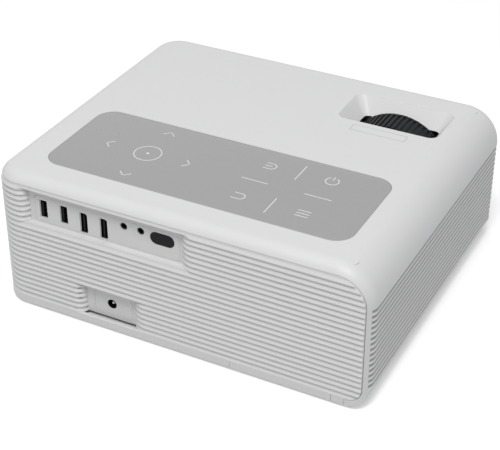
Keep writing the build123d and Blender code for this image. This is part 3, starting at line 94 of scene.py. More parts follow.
# stage: lights are squares, and the camera's angles are in degrees
OVERHEAD_PLACE, OVERHEAD_SIZE = (0.3, -0.1, 1.5), 1.0
SIDE_PLACE, SIDE_SIZE = (-0.32, 0.95, 1.9), 0.7
LIGHT_AIM = (0, 0, 0.05)
CAMERA_PLACE = (-0.3600, 0.70935, 0.5439)
CAMERA_AZIMUTH, CAMERA_ELEVATION = 207.268, 32.581
CAMERA_SHIFT = (0.00323, -0.0118)
SENSOR_WIDTH = 36
FLOOR_REACH = 3
WHITE = (1.0, 1.0, 1.0, 1.0)


# ---------------------------------------------------------------- settings
class ProjectorColours(bpy.types.PropertyGroup):
    """Colours of the moulded and printed surfaces."""

    housing: bpy.props.FloatVectorProperty(
        name="Housing", description="White moulded housing",
        subtype="COLOR", size=3, default=(0.70, 0.70, 0.70),
    )
    panel: bpy.props.FloatVectorProperty(
        name="Touch panel", description="Grey touch panel",
        subtype="COLOR", size=3, default=(0.342, 0.340, 0.341),
    )
    printing: bpy.props.FloatVectorProperty(
        name="Printing", description="Symbols on the touch panel",
        subtype="COLOR", size=3, default=(0.80, 0.80, 0.80),
    )
    dark: bpy.props.FloatVectorProperty(
        name="Black parts", description="Black moulded parts",
        subtype="COLOR", size=3, default=(0.012, 0.012, 0.013),
    )
    wheel: bpy.props.FloatVectorProperty(
        name="Focus wheel", description="Ribbed focus wheel",
        subtype="COLOR", size=3, default=(0.010, 0.011, 0.012),
    )


class ProjectorSizes(bpy.types.PropertyGroup):
    """Sizes of the fittings that are modelled here."""

    line: bpy.props.FloatProperty(
        name="Symbol line", description="Width of a printed line",
        default=0.6 * MM, unit="LENGTH",
    )
    ring: bpy.props.FloatProperty(
        name="Ring", description="Radius of the ring between the arrows",
        default=9.25 * MM, unit="LENGTH",
    )
    arm: bpy.props.FloatProperty(
        name="Arrow arm", description="Sideways reach of an arrow's arm",
        default=4.0 * MM, unit="LENGTH",
    )
    panel_edge: bpy.props.FloatProperty(
        name="Panel edge", description="Rounding of the touch panel's edge",
        default=0.3 * MM, unit="LENGTH",
    )
    screw_slot: bpy.props.FloatProperty(
        name="Screw slot", description="Width of the cross in a screw's head",
        default=0.9 * MM, unit="LENGTH",
    )
    chuck_ball: bpy.props.FloatProperty(
        name="Chuck ball", description="Radius of a ball that holds the disc",
        default=1.2 * MM, unit="LENGTH",
    )


class ProjectorStage(bpy.types.PropertyGroup):
    """Light and camera."""

    sky: bpy.props.FloatProperty(
        name="Sky", description="Strength of the even light from all round", default=0.37,
    )
    overhead: bpy.props.FloatProperty(
        name="Overhead light", description="Power of the soft light overhead",
        default=2.6, subtype="POWER",
    )
    side: bpy.props.FloatProperty(
        name="Side light", description="Power of the soft light high up behind the camera",
        default=25.0, subtype="POWER",
    )
    focal: bpy.props.FloatProperty(
        name="Lens", description="Focal length of the camera",
        default=97.62, subtype="DISTANCE_CAMERA",
    )


# ---------------------------------------------------------------- finishes
class Finish:
    """A node material in the making. Its patterns follow the piece's own coordinates."""

    def __init__(self, name, colour, roughness, metallic=0.0):
        self.material = bpy.data.materials.new(f"{name}_finish")
        self.name = name
        self.material.use_nodes = True
        self.tree = self.material.node_tree
        self.shader = self.tree.nodes["Principled BSDF"]
        self.shader.inputs["Metallic"].default_value = metallic
        self.shader.inputs["Roughness"].default_value = roughness
        self.place = self.add("ShaderNodeTexCoord").outputs["Object"]
        self.colour = (*colour, 1.0)
        self.normal = None

    def add(self, kind, **settings):
        """New node with its settings."""
        made = self.tree.nodes.new(kind)
        for key, value in settings.items():
            setattr(made, key, value)
        return made

    def put(self, value, socket):
        """Give a socket a value, or join another socket to it."""
        if isinstance(value, bpy.types.NodeSocket):
            self.tree.links.new(value, socket)
        else:
            socket.default_value = value

    def parts(self):
        """The piece's x, y and z as separate values."""
        made = self.add("ShaderNodeSeparateXYZ")
        self.put(self.place, made.inputs[0])
        return made.outputs

    def stretched(self, stretch):
        """The piece's coordinates, with patterns made longer along each axis."""
        mapping = self.add("ShaderNodeMapping")
        mapping.inputs["Scale"].default_value = [1 / part for part in stretch]
        self.put(self.place, mapping.inputs["Vector"])
        return mapping.outputs["Vector"]

    def noise(self, size, detail=2.0, stretch=(1, 1, 1)):
        """Cloudy pattern whose blotches are about as large as size."""
        made = self.add("ShaderNodeTexNoise")
        made.inputs["Scale"].default_value = 1 / size
        made.inputs["Detail"].default_value = detail
        self.put(self.stretched(stretch), made.inputs["Vector"])
        return made.outputs["Fac"]

    def cells(self, size):
        """Distance from the middles of scattered cells."""
        made = self.add("ShaderNodeTexVoronoi")
        made.inputs["Scale"].default_value = 1 / size
        self.put(self.place, made.inputs["Vector"])
        return made.outputs["Distance"]

    def waves(self, size):
        """Even waves along Z, of about that length."""
        made = self.add("ShaderNodeTexWave", wave_type="BANDS", bands_direction="Z")
        made.inputs["Scale"].default_value = math.tau / (20 * size)
        made.inputs["Distortion"].default_value = 0.0
        self.put(self.place, made.inputs["Vector"])
        return made.outputs["Fac"]

    def math(self, operation, *values):
        """Result of a sum or a test on values or sockets."""
        made = self.add("ShaderNodeMath", operation=operation)
        for value, socket in zip(values, made.inputs):
            self.put(value, socket)
        return made.outputs[0]

    def ranged(self, value, low, high, start=0.3, end=0.7):
        """Value that runs from low to high while another runs from start to end."""
        made = self.add("ShaderNodeMapRange")
        for part, socket in zip((value, start, end, low, high), made.inputs):
            self.put(part, socket)
        return made.outputs[0]

    def mix(self, factor, first, second):
        """Blend of two colours, whose sockets are the node's inputs 6 and 7 and output 2."""
        made = self.add("ShaderNodeMix", data_type="RGBA")
        self.put(factor, made.inputs[0])
        self.put(first, made.inputs[6])
        self.put(second, made.inputs[7])
        return made.outputs[2]

    def shaded(self, amount):
        """The finish's colour made darker or lighter."""
        return (*[part * amount for part in self.colour[:3]], 1.0)

    def blotches(self, factor, spread):
        """Vary the colour a little with a pattern."""
        self.paint(self.mix(factor, self.shaded(1 - spread), self.shaded(1 + spread)))

    def paint(self, colour):
        """Join a colour to the shader."""
        self.colour_socket = colour
        self.put(colour, self.shader.inputs["Base Color"])

    def rough(self, factor, low, high):
        """Vary the roughness with a pattern."""
        self.put(self.ranged(factor, low, high), self.shader.inputs["Roughness"])

    def shine(self, level):
        """Set how strongly the surface reflects."""
        self.shader.inputs["Specular IOR Level"].default_value = level

    def bump(self, height, depth):
        """Raise the surface by a pattern, over any bump that is there already."""
        made = self.add("ShaderNodeBump")
        made.inputs["Distance"].default_value = depth
        self.put(height, made.inputs["Height"])
        if self.normal is not None:
            self.put(self.normal, made.inputs["Normal"])
        self.normal = made.outputs["Normal"]
        self.put(self.normal, self.shader.inputs["Normal"])


def moulded(name, colour, roughness, grain, depth, spread=0.02, shine=0.5):
    """Moulded plastic or rubber with a fine spark-eroded grain."""
    finish = Finish(name, colour, roughness)
    finish.shine(shine)
    finish.blotches(finish.noise(30 * MM, detail=3), spread)
    fine = finish.noise(grain)
    finish.rough(fine, roughness - 0.05, roughness + 0.05)
    finish.bump(fine, depth)
    return finish


def housing_white(name, colours):
    """Plain white housing."""
    return moulded(name, colours.housing, 0.46, 0.35 * MM, 0.006 * MM, spread=0.008)


def cover_white_painted_shade(colours):
    """White cover, with painted shade inside its side grooves and along a plain outline pressed into its top.
    """
    finish = housing_white("cover_white_painted_shade", colours)
    place = finish.parts()
    # how dark the painted shade is in the grooves and along the pressed outline
    groove_shade_level, outline_shade_level = 0.55, 0.62
    # painted shade inside the grooves of the -X side, under their lips
    finish.paint(finish.mix(painted_shade_in_grooves(finish, *place), finish.colour_socket, finish.shaded(groove_shade_level)))
    # painted shade along the outline pressed into the top
    finish.paint(finish.mix(painted_shade_on_outline(finish, *place), finish.colour_socket, finish.shaded(outline_shade_level)))
    return finish


def painted_shade_in_grooves(finish, x, y, z):
    """Mask of painted shade: 1 inside the grooves of the -X side, where the lips would shade them, and 0
    elsewhere, by the depth under the rounded wall.
    """
    edge_round, lowest, highest = 10 * MM, 15 * MM, 75.1 * MM
    start, full, deepest = 0.3 * MM, 0.7 * MM, 1.45 * MM
    beside = finish.math("MINIMUM", finish.math("SUBTRACT", x, cad_low.x + edge_round), 0)
    past = finish.math("SUBTRACT", finish.math("ABSOLUTE", y), cad_high.y - edge_round)
    beyond = finish.math("MAXIMUM", past, 0)
    squares = [finish.math("MULTIPLY", reach, reach) for reach in (beside, beyond)]
    depth = finish.math("SUBTRACT", edge_round, finish.math("SQRT", finish.math("ADD", *squares)))
    inside = finish.ranged(depth, 0, 1, start, full)
    for test in (("LESS_THAN", depth, deepest), ("GREATER_THAN", z, lowest), ("LESS_THAN", z, highest)):
        inside = finish.math("MULTIPLY", inside, finish.math(*test))
    return inside


def painted_shade_on_outline(finish, x, y, z):
    """Mask of painted shade along a line pressed into the top: 1 on the lines of a rectangle behind the focus
    wheel, and 0 elsewhere.
    """
    centre, half, line, skin = (-71.0 * MM, -42.6 * MM), (19.6 * MM, 3.7 * MM), 0.3 * MM, 0.5 * MM
    past = []
    for along, place, reach in zip((x, y), centre, half):
        away = finish.math("ABSOLUTE", finish.math("SUBTRACT", along, place))
        past.append(finish.math("SUBTRACT", away, reach))
    edge = finish.math("ABSOLUTE", finish.math("MAXIMUM", *past))
    on_top = finish.math("GREATER_THAN", z, TOP - skin)
    return finish.math("MULTIPLY", on_top, finish.ranged(edge, 1, 0, line / 2, line))


def panel_grey(colours):
    """Smooth satin touch panel."""
    finish = Finish("panel_grey", colours.panel, 0.3)
    finish.blotches(finish.noise(60 * MM, detail=1), 0.01)
    fine = finish.noise(0.5 * MM)
    finish.rough(fine, 0.26, 0.34)
    finish.bump(fine, 0.002 * MM)
    return finish


def printed(colours):
    """Ink of the symbols."""
    finish = Finish("printing", colours.printing, 0.5)
    finish.blotches(finish.noise(0.8 * MM), 0.02)
    return finish


def window_dark():
    """Smoked infrared window."""
    finish = Finish("window_dark", (0.010, 0.009, 0.013), 0.2)
    finish.shine(0.12)
    finish.blotches(finish.noise(4 * MM), 0.05)
    finish.rough(finish.noise(2 * MM), 0.16, 0.24)
    return finish


def brushed(name, colour, roughness, stretch):
    """Metal with drawn or brushed lines along the longest stretch."""
    finish = Finish(name, colour, roughness, metallic=1.0)
    lines = finish.noise(0.3 * MM, detail=4, stretch=stretch)
    finish.blotches(lines, 0.06)
    finish.rough(lines, roughness - 0.08, roughness + 0.1)
    finish.bump(lines, 0.004 * MM)
    return finish


def socket_metal(name, node, width):
    """Plated shells of a pair of sockets, bright round their mouths; inside, black tongues, and painted shade
    on the shell walls deeper in.
    """
    finish = Finish(name, (0.58, 0.58, 0.59), 0.3)
    # black of the tongues, and also painted shade on the shell walls deeper than the mouth
    inside = (0.006, 0.006, 0.007, 1.0)
    low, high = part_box(node)
    pitch, wall, mouth = high.x - low.x - width, 0.45 * MM, 0.5 * MM
    x, y, z = finish.parts()
    beside = finish.math("ABSOLUTE", finish.math("SUBTRACT", x, (low.x + high.x) / 2))
    across = finish.math("ABSOLUTE", finish.math("SUBTRACT", beside, pitch / 2))
    upright = finish.math("ABSOLUTE", finish.math("SUBTRACT", z, (low.z + high.z) / 2))
    at_side = finish.math("GREATER_THAN", across, width / 2 - wall)
    at_end = finish.math("GREATER_THAN", upright, (high.z - low.z) / 2 - wall)
    at_mouth = finish.math("GREATER_THAN", y, high.y - mouth)
    # metal shows only near the mouth; deeper in, the walls get the painted shade
    shell = finish.math("MULTIPLY", at_mouth, finish.math("MAXIMUM", at_side, at_end))
    fine = finish.noise(0.2 * MM)
    finish.paint(finish.mix(shell, inside, finish.mix(fine, finish.shaded(0.9), finish.colour)))
    finish.put(shell, finish.shader.inputs["Metallic"])
    finish.shine(0.1)
    finish.rough(fine, 0.28, 0.4)
    return finish


def jack_black():
    """Black inlet body with a bright pin on its axis."""
    finish = Finish("jack_black", (0.006, 0.006, 0.007), 0.45)
    finish.shine(0.1)
    bright, pin_reach = (0.8, 0.8, 0.8, 1.0), 1.15 * MM
    low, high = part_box("dc_jack")
    x, _, z = finish.parts()
    across = finish.math("POWER", finish.math("SUBTRACT", x, (low.x + high.x) / 2), 2)
    upright = finish.math("POWER", finish.math("SUBTRACT", z, (low.z + high.z) / 2), 2)
    pin = finish.math("LESS_THAN", finish.math("ADD", across, upright), pin_reach ** 2)
    fine = finish.noise(0.3 * MM)
    finish.paint(finish.mix(pin, finish.mix(fine, finish.shaded(0.8), finish.colour), bright))
    finish.put(pin, finish.shader.inputs["Metallic"])
    finish.rough(fine, 0.3, 0.45)
    return finish


def filter_foam():
    """Open-cell foam, with painted shade in its pores."""
    finish = Finish("filter_foam", (0.05, 0.05, 0.052), 0.95)
    shaded_pores = finish.cells(1.2 * MM)
    # painted shade: darker towards the middle of each cell, where the pores are
    finish.paint(finish.mix(shaded_pores, finish.shaded(0.4), finish.shaded(1.3)))
    finish.bump(shaded_pores, 0.4 * MM)
    return finish


def paper_cone():
    """Pressed pulp with coarse fibres."""
    finish = Finish("paper_cone", (0.03, 0.03, 0.03), 0.9)
    fibres = finish.noise(0.6 * MM, detail=5)
    finish.blotches(fibres, 0.25)
    finish.bump(fibres, 0.05 * MM)
    return finish


def copper_coil():
    """Wound enamelled wire, with painted shade between its turns."""
    finish = Finish("copper_coil", (0.55, 0.19, 0.07), 0.35, metallic=0.9)
    shaded_turns = finish.waves(0.9 * MM)
    # painted shade between the turns of wire
    finish.paint(finish.mix(shaded_turns, finish.shaded(0.35), finish.colour))
    finish.bump(shaded_turns, 0.2 * MM)
    return finish


def board_green():
    """Solder mask with copper tracks under it and tinned pads."""
    finish = Finish("board_green", (0.010, 0.085, 0.040), 0.35)
    tinned = (0.6, 0.6, 0.58, 1.0)
    tracks = finish.math("GREATER_THAN", finish.noise(3 * MM, detail=0, stretch=(6, 1, 1)), 0.55)
    pads = finish.math("LESS_THAN", finish.cells(4 * MM), 0.14)
    covered = finish.mix(tracks, finish.colour, finish.shaded(1.8))
    finish.paint(finish.mix(pads, covered, tinned))
    finish.bump(tracks, 0.03 * MM)
    return finish


def capacitor_sleeve():
    """Shrunk plastic sleeve."""
    finish = Finish("capacitor_sleeve", (0.012, 0.02, 0.06), 0.25)
    folds = finish.noise(2 * MM, stretch=(1, 1, 6))
    finish.blotches(folds, 0.1)
    finish.bump(folds, 0.03 * MM)
    return finish


def glass(name, colour, rim_reflection_tint):
    """Polished glass with a coating, whose colour towards the rim is a painted reflection tint."""
    finish = Finish(name, colour, 0.03)
    finish.shader.inputs["Transmission Weight"].default_value = 1.0
    finish.shader.inputs["IOR"].default_value = 1.5
    # painted reflection: the coating's tint blended in by the angle of view, strongest at the rim
    weight = finish.add("ShaderNodeLayerWeight")
    weight.inputs["Blend"].default_value = 0.4
    finish.paint(finish.mix(weight.outputs["Facing"], finish.colour, (*rim_reflection_tint, 1.0)))
    finish.rough(finish.noise(8 * MM), 0.02, 0.05)
    return finish


def mirror_glass():
    """Front-silvered mirror."""
    finish = Finish("mirror_glass", (0.9, 0.9, 0.91), 0.03, metallic=1.0)
    finish.blotches(finish.noise(40 * MM), 0.01)
    finish.rough(finish.noise(10 * MM), 0.02, 0.05)
    return finish


def make_finishes(colours):
    """Every finish's material by its name."""
    made = [
        housing_white("housing_white", colours),
        cover_white_painted_shade(colours),
        panel_grey(colours),
        printed(colours),
        window_dark(),
        socket_metal("usb_metal", "usb_sockets", USB_WIDTH),
        socket_metal("video_metal", "video_sockets", VIDEO_WIDTH),
        jack_black(),
        moulded("trim_dark", colours.dark, 0.4, 0.3 * MM, 0.01 * MM, spread=0.1, shine=0.2),
        moulded("wheel_rubber", colours.wheel, 0.52, 0.25 * MM, 0.02 * MM, spread=0.12, shine=0.15),
        moulded("plastic_black", (0.022, 0.022, 0.024), 0.5, 0.3 * MM, 0.015 * MM, spread=0.1, shine=0.25),
        moulded("rubber_grey", (0.045, 0.045, 0.046), 0.8, 0.6 * MM, 0.04 * MM, spread=0.15),
        paper_cone(),
        filter_foam(),
        brushed("steel", (0.56, 0.56, 0.57), 0.32, (30, 1, 1)),
        brushed("gold_contact", (0.80, 0.56, 0.22), 0.28, (1, 12, 1)),
        brushed("brass_insert", (0.62, 0.43, 0.16), 0.3, (1, 1, 0.3)),
        brushed("cast_fins", (0.60, 0.60, 0.61), 0.38, (1, 1, 40)),
        copper_coil(),
        capacitor_sleeve(),
        board_green(),
        glass("optical_glass", (0.95, 0.97, 0.96), (0.80, 0.90, 0.88)),
        glass("coated_glass", (0.72, 0.80, 0.92), (0.42, 0.30, 0.62)),
        mirror_glass(),
    ]
    return {finish.name: finish.material for finish in made}


# nodes whose finish is finer than their slot's
NODE_FINISH = {
    "top_cover": "cover_white_painted_shade",
    "ir_window": "window_dark",
    "usb_sockets": "usb_metal",
    "video_sockets": "video_metal",
    "dc_jack": "jack_black",
    "focus_ring": "wheel_rubber",
    "front_glass": "coated_glass",
}


def direct_rays(tree):
    """1 where the camera, a reflection or glass looks at a surface, and 0 for bounced light."""
    path = tree.nodes.new("ShaderNodeLightPath")
    seen = path.outputs["Is Camera Ray"]
    for ray in ("Is Glossy Ray", "Is Transmission Ray"):
        either = tree.nodes.new("ShaderNodeMath")
        either.operation = "MAXIMUM"
        tree.links.new(seen, either.inputs[0])
        tree.links.new(path.outputs[ray], either.inputs[1])
        seen = either.outputs[0]
    return seen


# ---------------------------------------------------------------- mesh helpers
def middle(node):
    """Middle of a node's box."""
    low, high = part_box(node)
    return (low + high) / 2


def raise_faces(bm, faces, height):
    """Extrude faces straight up, and give the corners that rose."""
    raised = bmesh.ops.extrude_face_region(bm, geom=faces)["geom"]
    corners = [part for part in raised if isinstance(part, bmesh.types.BMVert)]
    bmesh.ops.translate(bm, verts=corners, vec=(0, 0, height))
    return corners


def stroke(bm, start, end, line, low, high):
    """Raised line with round ends between two points in plan."""
    run = Vector(end) - Vector(start)
    segments = 16
    outline = bmesh.ops.create_circle(bm, cap_ends=True, segments=segments, radius=line / 2)["verts"]
    bmesh.ops.rotate(
        bm, verts=outline, cent=(0, 0, 0), matrix=Matrix.Rotation(math.pi / segments, 3, "Z")
    )
    ahead = [vert for vert in outline if vert.co.x > 0]
    bmesh.ops.translate(bm, verts=ahead, vec=(run.length, 0, 0))
    turn = Matrix.Rotation(math.atan2(run.y, run.x), 4, "Z")
    bmesh.ops.transform(bm, verts=outline, matrix=Matrix.Translation((start[0], start[1], low)) @ turn)
    raise_faces(bm, outline[0].link_faces[:], high - low)


def arc(bm, centre, radius, start, sweep, line, low, high):
    """Raised line bent round a centre, from an angle and over a sweep in degrees."""
    closed = abs(sweep) >= 360
    section = bmesh.ops.create_grid(bm, x_segments=1, y_segments=1, size=0.5)["verts"]
    bmesh.ops.scale(bm, verts=section, vec=(line, high - low, 1))
    upright = Matrix.Rotation(math.pi / 2, 4, "X")
    out = Matrix.Translation((radius, 0, (low + high) / 2))
    turn = Matrix.Rotation(math.radians(start), 4, "Z")
    place = Matrix.Translation((centre[0], centre[1], 0))
    bmesh.ops.transform(bm, verts=section, matrix=place @ turn @ out @ upright)
    edges = list({edge for vert in section for edge in vert.link_edges})
    faces = list({face for vert in section for face in vert.link_faces})
    if closed:
        bmesh.ops.delete(bm, geom=faces, context="FACES_ONLY")
        faces = []
    bmesh.ops.spin(
        bm, geom=section + edges + faces, cent=(centre[0], centre[1], 0), axis=(0, 0, 1),
        angle=math.radians(sweep), steps=max(8, round(abs(sweep) / 6)), use_merge=closed,
    )


def turned(bm, profile, steps=64):
    """Round shape about Z from a short profile of radii and heights."""
    verts = [bm.verts.new((radius, 0, height)) for radius, height in profile]
    edges = [bm.edges.new(pair) for pair in zip(verts, verts[1:])]
    bmesh.ops.spin(
        bm, geom=verts + edges, cent=(0, 0, 0), axis=(0, 0, 1), angle=math.tau, steps=steps, use_merge=True
    )
    bmesh.ops.remove_doubles(bm, verts=bm.verts, dist=1e-7)


def rounded(bm, geom, reach, affect, segments, clamp=False):
    """Round off corners (VERTICES) or edges (EDGES)."""
    bmesh.ops.bevel(
        bm, geom=geom, offset=reach, offset_type="OFFSET", affect=affect, segments=segments,
        profile=0.5, material=-1, clamp_overlap=clamp,
    )


def soften(bm, reach, angle=35):
    """Round every edge that is sharper than an angle."""
    sharp = [
        edge for edge in bm.edges
        if len(edge.link_faces) == 2 and edge.calc_face_angle(0) > math.radians(angle)
    ]
    rounded(bm, sharp, reach, "EDGES", 2, clamp=True)


def add_copy(bm, source, matrix):
    """Put a copy of one shape into another at a place."""
    mesh = bpy.data.meshes.new("copy")
    source.to_mesh(mesh)
    mesh.transform(matrix)
    bm.from_mesh(mesh)
    bpy.data.meshes.remove(mesh)


def finish_piece(name, bm, finish, body, replaced=(), angle=30):
    """Make a shape into an object that rides on a body."""
    bmesh.ops.remove_doubles(bm, verts=bm.verts, dist=1e-8)
    bmesh.ops.recalc_face_normals(bm, faces=bm.faces)
    mesh = bpy.data.meshes.new(name)
    bm.to_mesh(mesh)
    bm.free()
    mesh.materials.append(bpy.data.materials[f"{finish}_finish"])
    for polygon in mesh.polygons:
        polygon.use_smooth = True
    mesh.set_sharp_from_angle(angle=math.radians(angle))
    piece = bpy.data.objects.new(name, mesh)
    bpy.context.scene.collection.objects.link(piece)
    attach(piece, body)
    if replaced:
        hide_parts(*replaced)


# ---------------------------------------------------------------- steps
class PROJECTOR_OT_finishes(bpy.types.Operator):
    """Give every carried-over piece its finish"""

    bl_idname = "projector.finishes"
    bl_label = "Finishes"

    def execute(self, context):
        made = make_finishes(context.scene.projector_colours)
        for row in frame["record"]["subparts"]:
            node = frame["nodes"][row["node"]]
            material = made[NODE_FINISH.get(row["node"], row["material_slot"])]
            if node.material_slots:
                for slot in node.material_slots:
                    slot.material = material
            else:
                node.data.materials.append(material)
        even = frame["nodes"]["top_cover"].modifiers.new("even_shading", "WEIGHTED_NORMAL")
        even.keep_sharp = True
        return {"FINISHED"}


class PROJECTOR_OT_touch_panel(bpy.types.Operator):
    """Build the touch panel with a rounded edge, and the symbols printed on it"""

    bl_idname = "projector.touch_panel"
    bl_label = "Touch panel"

    def execute(self, context):
        sizes = context.scene.projector_sizes
        low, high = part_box("touch_panel")
        centre = middle("touch_panel")
        bm = bmesh.new()
        corners = bmesh.ops.create_grid(bm, x_segments=1, y_segments=1, size=0.5)["verts"]
        bmesh.ops.scale(bm, verts=corners, vec=(high.x - low.x, high.y - low.y, 1))
        bmesh.ops.translate(bm, verts=corners, vec=(centre.x, centre.y, low.z))
        rounded(bm, corners, PANEL_CORNER, "VERTICES", 16)
        top = raise_faces(bm, bm.faces[:], FACE_TOP - low.z)
        rim = [edge for edge in bm.edges if edge.verts[0] in top and edge.verts[1] in top]
        rounded(bm, rim, sizes.panel_edge, "EDGES", 3)
        finish_piece("touch_face", bm, "panel_grey", "housing", replaced=["touch_panel"])
        self.print_symbols(centre, sizes)
        return {"FINISHED"}

    def print_symbols(self, centre, sizes):
        """Arrows round a ring on one half, and four keys between short lines on the other."""
        levels = (FACE_TOP, PRINT_TOP)
        bm = bmesh.new()

        # all places and lengths below are in millimetres
        def spot(x, y):
            return centre.x + x * MM, centre.y + y * MM

        def run(x1, y1, x2, y2):
            stroke(bm, spot(x1, y1), spot(x2, y2), sizes.line, *levels)

        def bend(x, y, radius, start, sweep):
            arc(bm, spot(x, y), radius * MM, start, sweep, sizes.line, *levels)

        # arrows round a ring, with a dot in its middle
        x, y = RING_PLACE
        reach, half, dot, dot_width = 29.6, sizes.arm / MM / 2, 0.1, 1.9 * MM
        arc(bm, spot(x, y), sizes.ring, 0, 360, sizes.line, *levels)
        stroke(bm, spot(x - dot, y), spot(x + dot, y), dot_width, *levels)
        for side in FOUR_WAYS:
            tip = Vector((x, y)) + (reach + half) * Vector(side)
            across = Vector((-side[1], side[0]))
            for way in (-1, 1):
                end = tip - 2 * half * Vector(side) + 2 * half * way * across
                run(tip.x, tip.y, end.x, end.y)
        # short lines between the four keys
        gap, length = 13.0, 18.3
        for side in FOUR_WAYS:
            near = Vector(KEYS_PLACE) + gap * Vector(side)
            far = near + length * Vector(side)
            run(near.x, near.y, far.x, far.y)
        # source: a bracket with a line into it
        x, y = SOURCE_PLACE
        half = 3.4
        bend(x - 1.0, y, half, 90, 180)
        for step in (-half, half):
            run(x - 1.0, y + step, x + half, y + step)
        run(x - 1.4, y, x + 3.2, y)
        # back: a turned line
        x, y = BACK_PLACE
        half = 3.2
        bend(x - 1.0, y, half, 90, 180)
        for step in (-half, half):
            run(x - 1.0, y + step, x + 4.0, y + step)
        # power: an open ring with a bar
        x, y = POWER_PLACE
        bend(x, y, 4.4, -60, 300)
        run(x, y - 5.2, x, y - 1.4)
        # menu: three bars
        x, y = MENU_PLACE
        half, pitch = 4.2, 3.1
        for step in (-pitch, 0, pitch):
            run(x - half, y + step, x + half, y + step)
        finish_piece("panel_symbols", bm, "printing", "housing")


class PROJECTOR_OT_screws(bpy.types.Operator):
    """Build the four housing screws with domed heads and cross recesses"""

    bl_idname = "projector.screws"
    bl_label = "Housing screws"

    def execute(self, context):
        sizes = context.scene.projector_sizes
        low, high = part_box("housing_screws")
        head, shank, rise, seat = 3.0 * MM, 1.45 * MM, 0.5 * MM, low.z + 1.8 * MM
        dome, cross_reach, cross_depth = low.z + 0.3 * MM, 0.62 * head, 0.9 * MM
        body = bmesh.new()
        turned(body, [
            (0, low.z), (head * 0.6, low.z + 0.1 * MM), (head - 0.1 * MM, low.z + rise),
            (head, low.z + 2 * rise), (head, seat), (shank, seat), (shank, high.z - shank), (0, high.z),
        ], steps=40)
        self.cross_recess(body, dome, sizes.screw_slot / 2, cross_reach, cross_depth)
        bm = bmesh.new()
        reach_x, reach_y = high.x - head, high.y - head
        for x in (-reach_x, reach_x):
            for y in (-reach_y, reach_y):
                # every screw stops at an angle of its own
                turn = Matrix.Rotation(70 * x + 110 * y, 4, "Z")
                add_copy(bm, body, Matrix.Translation((x, y, 0)) @ turn)
        body.free()
        finish_piece("cross_screws", bm, "steel", "housing", replaced=["housing_screws"])
        return {"FINISHED"}

    def cross_recess(self, bm, limit, half, reach, depth):
        """Sink a cross into the faces that lie lower than a limit."""
        for normal in ((1, 0, 0), (0, 1, 0)):
            for place in (-reach, -half, half, reach):
                bmesh.ops.bisect_plane(
                    bm, geom=bm.verts[:] + bm.edges[:] + bm.faces[:], dist=1e-8,
                    plane_co=place * Vector(normal), plane_no=normal,
                )
        cross = []
        for face in bm.faces:
            spot = face.calc_center_median()
            narrow, wide = sorted((abs(spot.x), abs(spot.y)))
            if spot.z < limit and narrow < half and wide < reach:
                cross.append(face)
        raise_faces(bm, cross, depth)


class PROJECTOR_OT_contacts(bpy.types.Operator):
    """Lay the gold contacts on the sockets' tongues, and build the mouth of the power inlet"""

    bl_idname = "projector.contacts"
    bl_label = "Socket contacts"

    def execute(self, context):
        bm = bmesh.new()
        # a tongue's -X face from its socket's middle, the contacts' places along Z and their width
        usb_face, usb_rows, usb_width = 0.15 * MM, (-3.5, -1.0, 1.0, 3.5), 0.9 * MM
        video_face, video_rows, video_width = -0.7 * MM, [step * 0.95 - 4.3 for step in range(10)], 0.4 * MM
        self.contact_rows(bm, "usb_sockets", USB_WIDTH, usb_face, usb_rows, usb_width)
        self.contact_rows(bm, "video_sockets", VIDEO_WIDTH, video_face, video_rows, video_width)
        finish_piece("socket_contacts", bm, "gold_contact", "housing")
        self.power_inlet()
        return {"FINISHED"}

    def contact_rows(self, bm, node, socket_width, face, rows, width):
        """Contacts side by side on the -X face of two tongues, running in from their tips."""
        length, thick, tip = 7 * MM, 0.12 * MM, 2.6 * MM
        low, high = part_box(node)
        row = bmesh.new()
        for place in rows:
            stroke(row, (0, place * MM), (length, place * MM), width, 0, thick)
        for x in (low.x + socket_width / 2, high.x - socket_width / 2):
            # lines run in along -Y, rows stack along Z and the contacts stand out along -X
            add_copy(bm, row, Matrix((
                (0, 0, -1, x + face), (-1, 0, 0, high.y - tip), (0, 1, 0, middle(node).z), (0, 0, 0, 1),
            )))
        row.free()

    def power_inlet(self):
        """Black nose of the power inlet inside the plate's hole, and the tip of its pin."""
        axis = middle("dc_jack")
        back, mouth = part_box("dc_jack")[1].y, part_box("power_plate")[1].y - 0.2 * MM
        outer, inner, chamfer, pin, pin_root = 3.42 * MM, 3.1 * MM, 0.1 * MM, 1.0 * MM, back - 3 * MM
        out = Matrix.Translation((axis.x, 0, axis.z)) @ Matrix.Rotation(-math.pi / 2, 4, "X")
        nose = bmesh.new()
        turned(nose, [
            (inner, back), (inner, mouth - 0.3 * MM), (inner + chamfer, mouth), (outer, mouth),
            (outer, back), (inner, back),
        ], steps=48)
        bmesh.ops.transform(nose, verts=nose.verts, matrix=out)
        finish_piece("inlet_nose", nose, "jack_black", "housing")
        tip = bmesh.new()
        turned(tip, [
            (0, pin_root), (pin, pin_root), (pin, mouth - 1.6 * MM),
            (pin * 0.8, mouth - 1.2 * MM), (pin * 0.4, mouth - 1.05 * MM), (0, mouth - 1.0 * MM),
        ], steps=32)
        bmesh.ops.transform(tip, verts=tip.verts, matrix=out)
        finish_piece("inlet_pin", tip, "steel", "housing")


